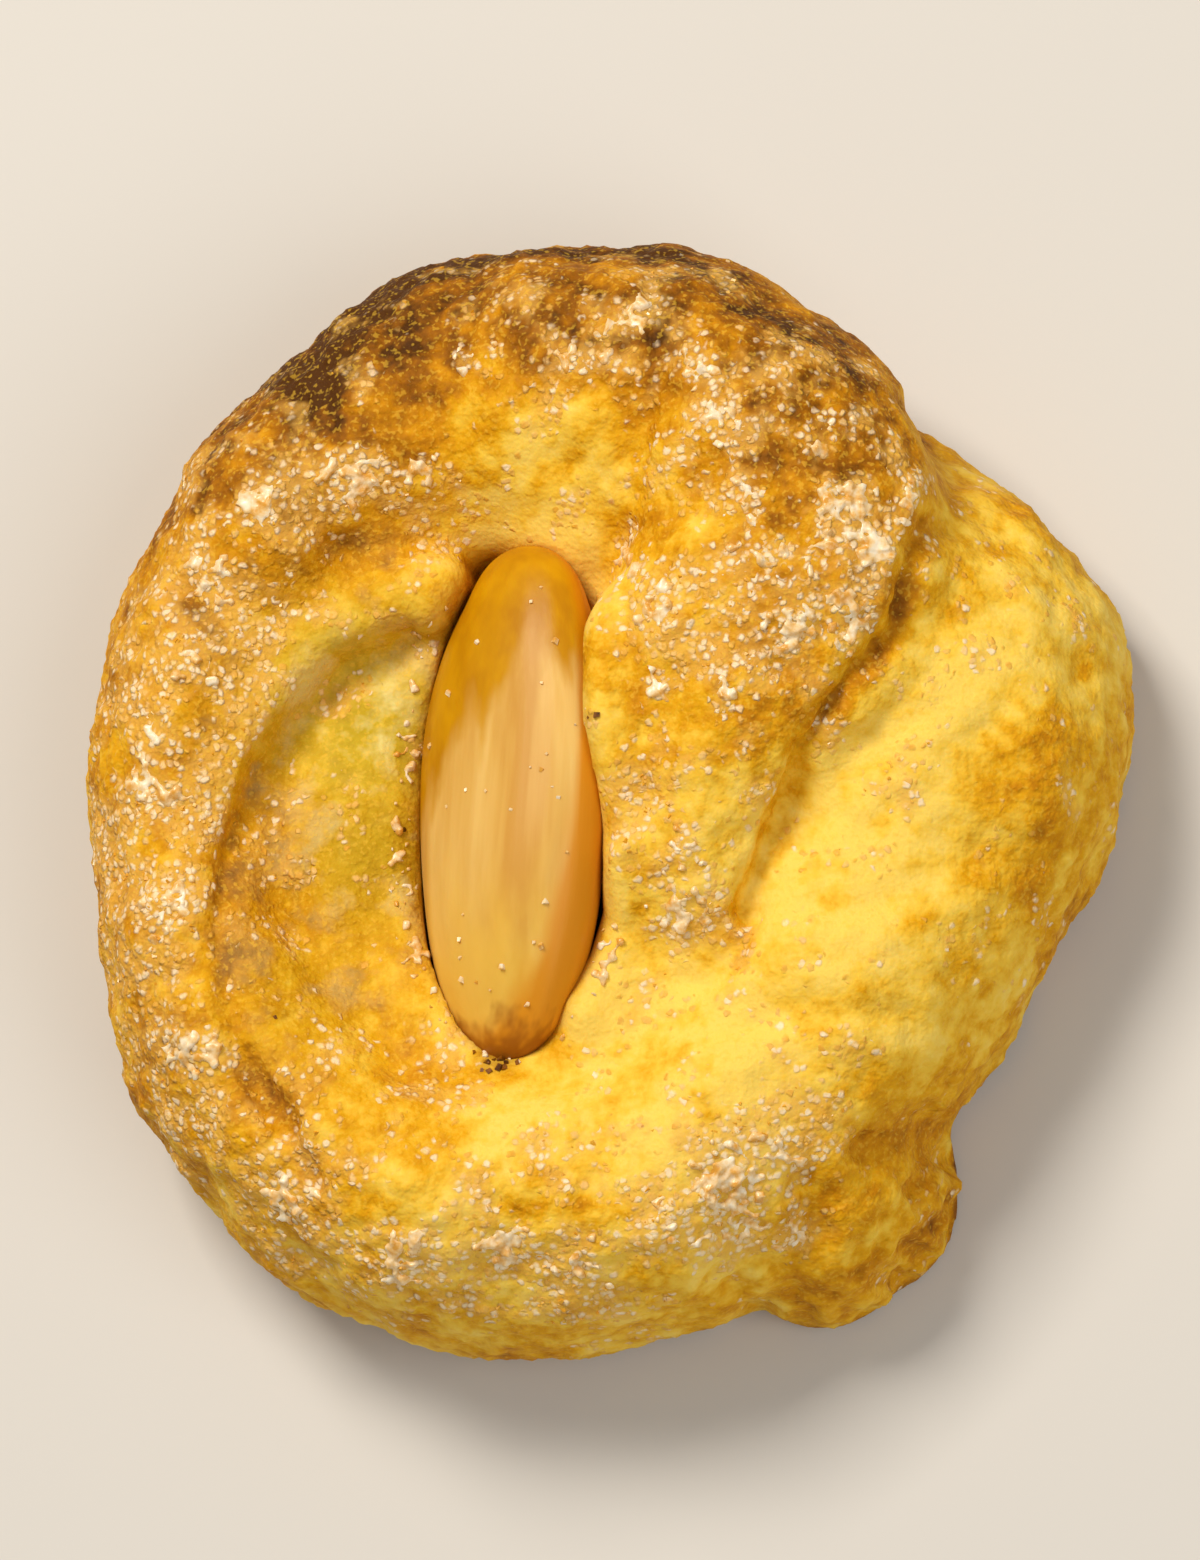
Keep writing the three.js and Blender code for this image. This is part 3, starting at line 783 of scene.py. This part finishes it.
# browned + 1.3 × (patches - 0.5) + 0.6 × (crumb - 0.5)
baked = add(tree, "ShaderNodeMath", {0: patches, 1: 1.3, 2: browned_here}, operation="MULTIPLY_ADD")
baked = add(tree, "ShaderNodeMath", {0: crumb, 1: 0.6, 2: baked}, operation="MULTIPLY_ADD")
baked = add(tree, "ShaderNodeMath", {0: baked, 1: 0.95}, operation="SUBTRACT")
crust = add(tree, "ShaderNodeValToRGB", {"Fac": baked}, stops=[
    (0.00, "#f5d05c"), (0.16, "#f0c23c"), (0.34, "#e1a40c"),
    (0.54, "#ca8600"), (0.76, "#965a02"), (0.98, "#502c02"),
])
# moist dough in the hollow: pale greenish, with painted shade in its darker olive where the rim overhangs it
greenish_shaded = add(tree, "ShaderNodeValToRGB", {"Fac": patches}, stops=[
    (0.36, "#a38408"), (0.50, "#c2a31e"), (0.62, "#e0cf7c"),
])
crust = add(tree, "ShaderNodeMix", {"Factor": moist_shaded_here, 6: crust, 7: greenish_shaded}, 2, data_type="RGBA")
# painted shade and some browning in the pocket's edge, where the dough meets the almond; browner at the almond's
# tip and in a few burnt specks
burnt_and_shaded = add(tree, "ShaderNodeMath", {0: pocket_brown_and_shade_here, 1: 0.20}, operation="MULTIPLY")
burnt_and_shaded = add(tree, "ShaderNodeMath", {
    0: caught_here, 1: 0.55, 2: burnt_and_shaded,
}, operation="MULTIPLY_ADD", use_clamp=True)
crust = add(tree, "ShaderNodeMix", {"Factor": burnt_and_shaded, 6: crust, 7: linear("#8a4c06")}, 2, data_type="RGBA")

# %% [markdown]
# ### The frost of sugar on it
# Fine sugar half melted in the oven and set as a beige frost. It lies in clusters of a few
# millimetres: a beige film with rounded grains on it, each a cell of its own with its own
# whiteness, golden crust between them where they lie apart, and whitest where they heaped.
# On the darkest crust the sugar browned too, so it shows less. The smallest grains and flour
# lie on all of the dough, much fainter.

# %% Baked biscuit dough: the frost
GRAIN = 0.40  # mm, the width of a melted grain

clusters = add(tree, "ShaderNodeTexNoise", {
    "Vector": place, "Scale": 1 / (CLUSTER * MM), "Detail": 3.0, "Roughness": 0.6,
})
amount = add(tree, "ShaderNodeMath", {0: clusters, 1: CLUSTERING, 2: sugared_here}, operation="MULTIPLY_ADD")
amount = add(tree, "ShaderNodeMath", {0: heaped_here, 1: 0.35, 2: amount}, operation="MULTIPLY_ADD")
# 0 where no sugar lies and 1 where it covers all
thick = add(tree, "ShaderNodeMapRange", {"Value": amount, "From Min": 2.05, "From Max": 3.10})
bend = add(tree, "ShaderNodeTexNoise", {"Vector": place, "Scale": 1 / (0.5 * MM), "Detail": 2.0}, "Color")
bent = add(tree, "ShaderNodeVectorMath", {0: bend, 1: (0.4 * MM,) * 3, 2: place}, operation="MULTIPLY_ADD")
# how far each place is from its grain's middle, and the grain's own colour, which gives two chances
from_middle, own_colour = (
    add(tree, "ShaderNodeTexVoronoi", {"Vector": bent, "Scale": 1 / (GRAIN * MM)}, wanted)
    for wanted in ("Distance", "Color")
)
chance, brightness = (add(tree, "ShaderNodeSeparateColor", {"Color": own_colour}, c) for c in ("Red", "Green"))
# a grain lies there when its chance is less than the thickness, and it is round
lies = add(tree, "ShaderNodeMath", {0: thick, 1: 1.25, 2: -0.08}, operation="MULTIPLY_ADD")
lies = add(tree, "ShaderNodeMath", {0: lies, 1: chance}, operation="SUBTRACT")
lies = add(tree, "ShaderNodeMapRange", {
    "Value": lies, "From Min": -0.05, "From Max": 0.10,
}, interpolation_type="SMOOTHSTEP")
round_grain = add(tree, "ShaderNodeMapRange", {
    "Value": from_middle, "From Min": 0.62, "From Max": 0.25,
}, interpolation_type="SMOOTHSTEP")
covered = add(tree, "ShaderNodeMath", {0: lies, 1: round_grain}, operation="MULTIPLY")
# the melted film between the grains
film = add(tree, "ShaderNodeMapRange", {
    "Value": thick, "From Min": 0.30, "From Max": 0.95, "To Max": 0.65,
}, interpolation_type="SMOOTHSTEP")
skin = add(tree, "ShaderNodeMix", {"Factor": film, 6: crust, 7: linear("#e0aa4a")}, 2, data_type="RGBA")
whiteness = add(tree, "ShaderNodeMath", {0: thick, 1: 0.45, 2: brightness}, operation="MULTIPLY_ADD")
whiteness = add(tree, "ShaderNodeMath", {0: heaped_here, 1: 0.45, 2: whiteness}, operation="MULTIPLY_ADD")
frost = add(tree, "ShaderNodeValToRGB", {"Fac": whiteness}, stops=[
    (0.20, "#e2a334"), (0.55, "#e8b354"), (0.85, "#efc684"), (1.00, "#f6deb6"),
])
# the grains over it, browned where the crust is darkest
dark = add(tree, "ShaderNodeMapRange", {
    "Value": baked, "From Min": 0.60, "From Max": 1.0, "To Min": 0.92, "To Max": 0.30,
})
veil = add(tree, "ShaderNodeMath", {0: covered, 1: dark}, operation="MULTIPLY")
skin = add(tree, "ShaderNodeMix", {"Factor": veil, 6: skin, 7: frost}, 2, data_type="RGBA")
# flour on the pale dough, and the faint sparkle of the smallest grains on all of it
pale = add(tree, "ShaderNodeMapRange", {"Value": baked, "From Min": 0.55, "From Max": 0.15})
dust = add(tree, "ShaderNodeTexNoise", {
    "Vector": place, "Scale": 1 / (1.1 * MM), "Detail": 4.0, "Roughness": 0.7,
})
dust = add(tree, "ShaderNodeMapRange", {
    "Value": dust, "From Min": 0.50, "From Max": 0.70, "To Max": 0.42,
}, interpolation_type="SMOOTHSTEP")
dust = add(tree, "ShaderNodeMath", {0: dust, 1: pale}, operation="MULTIPLY")
skin = add(tree, "ShaderNodeMix", {"Factor": dust, 6: skin, 7: linear("#f5cc48")}, 2, data_type="RGBA")
speckle = add(tree, "ShaderNodeMapRange", {
    "Value": fine, "From Min": 0.54, "From Max": 0.68, "To Max": 0.34,
}, interpolation_type="SMOOTHSTEP")
skin = add(tree, "ShaderNodeMix", {"Factor": speckle, 6: skin, 7: linear("#f0c03c")}, 2, data_type="RGBA")

# %% Baked biscuit dough: relief and surface
# Dough is matt and lets a little light through at its edges: a rough surface with little
# gloss, and a shallow subsurface. Sugar is glossier.
relief = add(tree, "ShaderNodeMath", {0: covered, 1: 0.40, 2: crumb}, operation="MULTIPLY_ADD")
relief = add(tree, "ShaderNodeMath", {0: fine, 1: 0.45, 2: relief}, operation="MULTIPLY_ADD")
calm = add(tree, "ShaderNodeMapRange", {"Value": pale, "To Min": 1.0, "To Max": 0.55})
relief = add(tree, "ShaderNodeMath", {0: relief, 1: calm}, operation="MULTIPLY")
bump = add(tree, "ShaderNodeBump", {"Strength": 1.0, "Distance": 0.20 * MM, "Height": relief})
roughness = add(tree, "ShaderNodeMapRange", {"Value": covered, "To Min": 0.66, "To Max": 0.40})
shader = add(tree, "ShaderNodeBsdfPrincipled", {
    "Base Color": skin, "Roughness": roughness, "IOR": 1.45, "Normal": bump, "Specular IOR Level": 0.15,
    "Subsurface Weight": 0.15, "Subsurface Radius": (1.0, 0.55, 0.2), "Subsurface Scale": 1.0 * MM,
})
add(tree, "ShaderNodeOutputMaterial", {"Surface": shader})

# %% [markdown]
# ### Toasted almond
# A skinned kernel is cream with faint veins from end to end. Its blunt end stands highest and
# toasted to amber, in drips down its low side, and its tip caught and went brown. Its flank
# towards the arm, turned from the light, is painted a deeper orange as painted shade. Its own
# oil gives a satin shine.

# %% Toasted almond
almond_finish, tree = new_material("toasted skinned almond")
own = add(tree, "ShaderNodeAttribute", output="Vector", attribute_name="kernel")
stretched = add(tree, "ShaderNodeMapping", {"Vector": own, "Scale": (2.4, 0.7, 2.4)})
streaks = add(tree, "ShaderNodeTexNoise", {
    "Vector": stretched, "Scale": 1.0, "Detail": 2.0, "Roughness": 0.5, "Distortion": 0.3,
})
hair = add(tree, "ShaderNodeMapping", {"Vector": own, "Scale": (22.0, 2.2, 22.0)})
hairlines = add(tree, "ShaderNodeTexNoise", {"Vector": hair, "Scale": 1.0, "Detail": 2.0})
blotches = add(tree, "ShaderNodeTexNoise", {"Vector": own, "Scale": 2.6, "Detail": 3.0, "Roughness": 0.55})
across, lengthwise, through = (add(tree, "ShaderNodeSeparateXYZ", {"Vector": own}, axis) for axis in "XYZ")
flesh_by = add(tree, "ShaderNodeMath", {0: hairlines, 1: 0.12, 2: streaks}, operation="MULTIPLY_ADD")
flesh = add(tree, "ShaderNodeValToRGB", {"Fac": flesh_by}, stops=[
    (0.42, "#cc9640"), (0.56, "#d9aa54"), (0.70, "#e3ba68"),
])
low_part = add(tree, "ShaderNodeMath", {0: blotches, 1: 0.6, 2: lengthwise}, operation="MULTIPLY_ADD")
low_part = add(tree, "ShaderNodeMapRange", {
    "Value": low_part, "From Min": 0.15, "From Max": -0.45, "To Max": 0.7,
}, interpolation_type="SMOOTHSTEP")
flesh = add(tree, "ShaderNodeMix", {"Factor": low_part, 6: flesh, 7: linear("#ecc04c")}, 2, data_type="RGBA")
# the toasting ends along a slanting line, lower on the low side, in drips as wide as the streaks
toasted = add(tree, "ShaderNodeMath", {0: across, 1: -0.46, 2: lengthwise}, operation="MULTIPLY_ADD")
toasted = add(tree, "ShaderNodeMath", {0: streaks, 1: 0.7, 2: toasted}, operation="MULTIPLY_ADD")
toasted = add(tree, "ShaderNodeMath", {0: blotches, 1: 0.5, 2: toasted}, operation="MULTIPLY_ADD")
toasted = add(tree, "ShaderNodeMapRange", {
    "Value": toasted, "From Min": 0.70, "From Max": 0.94,
}, interpolation_type="SMOOTHSTEP")
cap = add(tree, "ShaderNodeMath", {0: blotches, 1: 0.35, 2: lengthwise}, operation="MULTIPLY_ADD")
cap = add(tree, "ShaderNodeMapRange", {
    "Value": cap, "From Min": 0.66, "From Max": 0.84,
}, interpolation_type="SMOOTHSTEP")
toasted = add(tree, "ShaderNodeMath", {0: toasted, 1: cap}, operation="MAXIMUM")
amber = add(tree, "ShaderNodeValToRGB", {"Fac": blotches}, stops=[(0.38, "#ba7e00"), (0.62, "#ce9400")])
flesh = add(tree, "ShaderNodeMix", {"Factor": toasted, 6: flesh, 7: amber}, 2, data_type="RGBA")
# painted shade: the flank turned from the light, towards the arm, in a deeper orange
shaded_flank = add(tree, "ShaderNodeMath", {0: streaks, 1: 0.3, 2: through}, operation="MULTIPLY_ADD")
shaded_flank = add(tree, "ShaderNodeMath", {0: lengthwise, 1: 0.25, 2: shaded_flank}, operation="MULTIPLY_ADD")
shaded_flank = add(tree, "ShaderNodeMapRange", {
    "Value": shaded_flank, "From Min": 0.48, "From Max": 0.24, "To Max": 0.9,
}, interpolation_type="SMOOTHSTEP")
flesh = add(tree, "ShaderNodeMix", {"Factor": shaded_flank, 6: flesh, 7: linear("#d88a06")}, 2, data_type="RGBA")
tip = add(tree, "ShaderNodeMath", {0: blotches, 1: 0.40, 2: lengthwise}, operation="MULTIPLY_ADD")
tip = add(tree, "ShaderNodeMapRange", {
    "Value": tip, "From Min": -0.60, "From Max": -0.70, "To Max": 0.85,
}, interpolation_type="SMOOTHSTEP")
flesh = add(tree, "ShaderNodeMix", {"Factor": tip, 6: flesh, 7: linear("#94520c")}, 2, data_type="RGBA")
relief = add(tree, "ShaderNodeMath", {0: hairlines, 1: 0.3, 2: streaks}, operation="MULTIPLY_ADD")
bump = add(tree, "ShaderNodeBump", {"Strength": 0.4, "Distance": 0.08 * MM, "Height": relief})
shader = add(tree, "ShaderNodeBsdfPrincipled", {
    "Base Color": flesh, "Roughness": 0.42, "IOR": 1.47, "Normal": bump, "Specular IOR Level": 0.25,
    "Subsurface Weight": 0.2, "Subsurface Radius": (1.0, 0.6, 0.3), "Subsurface Scale": 1.5 * MM,
})
add(tree, "ShaderNodeOutputMaterial", {"Surface": shader})

for piece, finish in ((dough, dough_finish), (almond, almond_finish)):
    piece.data.materials.clear()
    piece.data.materials.append(finish)

# %% [markdown]
# ### Granulated sugar
# A sugar crystal is clear, but a crust of them looks whitish, because light leaves it after many
# turns. Real refraction would need millions of light paths to brighten what lies under a crystal,
# so the crystals get a whitish colour with a little shallow, nearly grey subsurface, under the
# glossy surface of sugar. Fine ones, which lie in the melted crust, took its gold, and heaped
# ones stayed beige to nearly white.

# %% Granulated sugar, golden where it melted and white where it heaps
sugar_finishes = []
for name, stops in (
    ("fine sugar, half melted", [(0.40, "#d9930f"), (0.50, "#e4a428"), (0.58, "#ebb654"), (0.68, "#f2ce8c")]),
    ("toasted crumbs", [(0.40, "#4a2604"), (0.60, "#8a5208")]),
    (
        "granulated sugar, fused in the oven",
        [(0.38, "#dc9e3a"), (0.47, "#e8bd78"), (0.55, "#f0d2a0"), (0.64, "#f8e6c6")],
    ),
):
    finish, tree = new_material(name)
    place = add(tree, "ShaderNodeTexCoord", output="Object")
    tint = add(tree, "ShaderNodeTexNoise", {
        "Vector": place, "Scale": 1 / (0.8 * MM), "Detail": 3.0, "Roughness": 0.6,
    })
    colour = add(tree, "ShaderNodeValToRGB", {"Fac": tint}, stops=stops)
    shader = add(tree, "ShaderNodeBsdfPrincipled", {
        "Base Color": colour, "Roughness": 0.3, "IOR": 1.54,
        "Subsurface Weight": 0.25, "Subsurface Radius": (1.0, 0.9, 0.75), "Subsurface Scale": 0.25 * MM,
    })
    add(tree, "ShaderNodeOutputMaterial", {"Surface": shader})
    sugar_finishes.append(finish)
fine_finish, crumb_finish, fused_finish = sugar_finishes

# %% [markdown]
# ## Scattering the sugar
# Thousands of crystals can't be placed by hand. Geometry Nodes spreads points over the dough,
# denser where the stored number says so and where the noise of the frost makes clusters, puts
# one of a few crystals on each, turned and scaled at random from a fixed seed, and makes it all
# real mesh. Sugar grows as leaning, oblong blocks, so each crystal starts as a cube that is
# stretched and leaned. Where sugar heaped it fused: those crystals are remeshed into one crust.

# %% Grow a few crystals
tray = bpy.data.collections.new("crystals")
bpy.context.scene.collection.children.link(tray)
for name, size in (("crystal_a", (1, 0.8, 0.7)), ("crystal_b", (1, 0.6, 0.55)), ("crystal_c", (0.85, 0.85, 0.9))):
    bpy.ops.object.select_all(action="DESELECT")
    bpy.ops.mesh.primitive_cube_add(size=MM)
    crystal = bpy.context.object
    crystal.name = name
    bpy.ops.object.mode_set(mode="EDIT")
    bpy.ops.transform.resize(value=size)
    bpy.ops.mesh.select_all(action="DESELECT")
    bpy.ops.object.mode_set(mode="OBJECT")
    for face in crystal.data.polygons:
        face.select = face.normal.z > 0.5
    bpy.ops.object.mode_set(mode="EDIT")
    bpy.ops.transform.resize(value=(0.8, 0.7, 1))
    bpy.ops.transform.translate(value=(0.18 * MM, 0.08 * MM, 0))
    bpy.ops.object.mode_set(mode="OBJECT")
    for home in list(crystal.users_collection):
        home.objects.unlink(crystal)
    tray.objects.link(crystal)


# %% Scatter them
DENSEST = 3.1  # where stored sugar and clusters come to this, crystals lie as densely as they can


def scatter(name, ground, held, per_mm2, bare_below, smallest, largest, sunk, seed):
    """Crystals on the ground, smallest to largest millimetres wide and sunk in a little.

    The stored number called held and the clusters say how dense they lie: per_mm2 of them at
    most, and none where the two come to less than bare_below.
    """
    tree = bpy.data.node_groups.new(name, "GeometryNodeTree")
    tree.interface.new_socket("Geometry", in_out="INPUT", socket_type="NodeSocketGeometry")
    tree.interface.new_socket("Geometry", in_out="OUTPUT", socket_type="NodeSocketGeometry")
    surface = add(tree, "NodeGroupInput")
    here = add(tree, "GeometryNodeInputNamedAttribute", {"Name": held}, data_type="FLOAT")
    clusters = add(tree, "ShaderNodeTexNoise", {"Scale": 1 / (CLUSTER * MM), "Detail": 3.0, "Roughness": 0.6})
    amount = add(tree, "ShaderNodeMath", {0: clusters, 1: CLUSTERING, 2: here}, operation="MULTIPLY_ADD")
    amount = add(tree, "ShaderNodeMapRange", {
        "Value": amount, "From Min": bare_below, "From Max": DENSEST, "To Max": per_mm2 / MM**2,
    })
    some = add(tree, "ShaderNodeMath", {0: here, 1: 0.08}, operation="GREATER_THAN")
    amount = add(tree, "ShaderNodeMath", {0: amount, 1: some}, operation="MULTIPLY")
    spread = tree.nodes.new("GeometryNodeDistributePointsOnFaces")
    tree.links.new(surface, spread.inputs["Mesh"])
    tree.links.new(amount, spread.inputs["Density"])
    spread.inputs["Seed"].default_value = seed
    inwards = add(tree, "ShaderNodeVectorMath", {
        0: spread.outputs["Normal"], "Scale": -sunk * MM,
    }, operation="SCALE")
    lowered = add(tree, "GeometryNodeSetPosition", {"Geometry": spread.outputs["Points"], "Offset": inwards})
    crystals = add(tree, "GeometryNodeCollectionInfo", {
        "Collection": tray, "Separate Children": True, "Reset Children": True,
    })
    spin = add(tree, "FunctionNodeRandomValue", {
        0: (0, 0, 0), 1: (math.tau,) * 3, "Seed": seed + 1,
    }, data_type="FLOAT_VECTOR")
    size = add(tree, "FunctionNodeRandomValue", {2: 0.0, 3: 1.0, "Seed": seed + 2}, 1, data_type="FLOAT")
    size = add(tree, "ShaderNodeMath", {0: size, 1: size}, operation="MULTIPLY")  # small ones are many
    size = add(tree, "ShaderNodeMapRange", {"Value": size, "To Min": smallest, "To Max": largest})
    copies = add(tree, "GeometryNodeInstanceOnPoints", {
        "Points": lowered, "Instance": crystals, "Pick Instance": True, "Rotation": spin, "Scale": size,
    })
    real = add(tree, "GeometryNodeRealizeInstances", {"Geometry": copies})
    add(tree, "NodeGroupOutput", {"Geometry": real})
    piece = bpy.data.objects.new(name, ground.data.copy())
    bpy.context.scene.collection.objects.link(piece)
    modify(piece, "NODES", node_group=tree)
    piece.data.materials.clear()
    print(name, triangles(piece), "triangles")
    return piece


fine_sugar = scatter("fine_sugar", dough, "sugared", 7.5, 2.60, 0.10, 0.26, 0.07, 11)
fused_sugar = scatter("fused_sugar", dough, "heaped", 10.0, 2.30, 0.26, 0.60, 0.08, 31)
edge_sugar = scatter("edge_sugar", dough, "hugging", 6.0, 1.90, 0.22, 0.50, 0.0, 51)
strewn_sugar = scatter("strewn_sugar", almond, "strewn", 0.25, 2.75, 0.15, 0.32, 0.0, 71)
toasted_crumbs = scatter("toasted_crumbs", dough, "caught", 9.0, 1.70, 0.18, 0.42, 0.0, 91)

# %% Fuse the heaped ones, and give each kind its finish
only(fused_sugar)
edge_sugar.select_set(True)
bpy.ops.object.join()
modify(fused_sugar, "REMESH", mode="VOXEL", voxel_size=0.11 * MM)
modify(fused_sugar, "SMOOTH", factor=0.5, iterations=1)
print("fused", triangles(fused_sugar), "triangles")
only(fused_sugar)
bpy.ops.object.shade_smooth()
for piece, finish in (
    (fine_sugar, fine_finish), (fused_sugar, fused_finish),
    (strewn_sugar, fused_finish), (toasted_crumbs, crumb_finish),
):
    piece.data.materials.append(finish)
for crystal in list(tray.objects):
    bpy.data.objects.remove(crystal)
bpy.data.collections.remove(tray)

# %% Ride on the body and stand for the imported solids
for piece, node, slot in ((dough, "dough", "baked_dough"), (almond, "almond", "almond_kernel")):
    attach(piece, "root")
    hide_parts(node)
for piece in (fine_sugar, fused_sugar, strewn_sugar, toasted_crumbs):
    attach(piece, "root")

# %% [markdown]
# ## Studio
# A pale floor, one soft window of light from the upper left, as in the photograph, and a
# weaker one opposite. The camera looks down on the biscuit, leaning a little to its lower
# right side, with the top of the coil at the top of the picture.

# %% Floor, light and camera
bpy.ops.object.select_all(action="DESELECT")
bpy.ops.mesh.primitive_plane_add(size=2.0, location=(0, 0, -0.05 * MM))
floor = bpy.context.object
floor.name = "studio_floor"
floor_paint, tree = new_material("matt white board")
shader = add(tree, "ShaderNodeBsdfPrincipled", {"Base Color": linear("#d3d0ca"), "Roughness": 0.9})
add(tree, "ShaderNodeOutputMaterial", {"Surface": shader})
floor.data.materials.append(floor_paint)

world = bpy.data.worlds.new("studio")
bpy.context.scene.world = world
world.use_nodes = True
world.node_tree.nodes["Background"].inputs["Color"].default_value = linear("#fff8ee")
world.node_tree.nodes["Background"].inputs["Strength"].default_value = 0.27


def soft_light(name, azimuth, elevation, distance, size, watts, colour="#ffffff"):
    a, e = math.radians(azimuth), math.radians(elevation)
    back = Vector((math.sin(a) * math.cos(e), -math.cos(a) * math.cos(e), math.sin(e)))
    bpy.ops.object.light_add(type="AREA", location=back * distance)
    light = bpy.context.object
    light.name = name
    light.rotation_euler = back.to_track_quat("Z", "Y").to_euler()
    light.data.size, light.data.energy = size, watts
    light.data.color = linear(colour)[:3]
    return light


soft_light("window", 215, 55, 0.6, 0.22, 3.3, "#fff6ea")
soft_light("reflector", 60, 50, 0.6, 0.4, 1.2)

CAMERA_AZIMUTH, CAMERA_ELEVATION, CAMERA_DISTANCE = 40, 76, 0.40
VIEW_HEIGHT = 74 * MM  # what the picture's long side takes in at the biscuit

a, e = math.radians(CAMERA_AZIMUTH), math.radians(CAMERA_ELEVATION)
back = Vector((math.sin(a) * math.cos(e), -math.cos(a) * math.cos(e), math.sin(e)))
target = (cad_box[0] + cad_box[1]) / 2
bpy.ops.object.camera_add()
camera = bpy.context.object
right = Vector((0, 1, 0)).cross(back).normalized()
place = Matrix((right, back.cross(right), back)).transposed().to_4x4()
place.translation = target + back * CAMERA_DISTANCE
camera.matrix_world = place
camera.data.sensor_width = 36
camera.data.lens = 36 * CAMERA_DISTANCE / VIEW_HEIGHT
bpy.context.scene.camera = camera
bpy.context.scene.view_settings.view_transform = "Standard"

# %% The json module, once more
import json
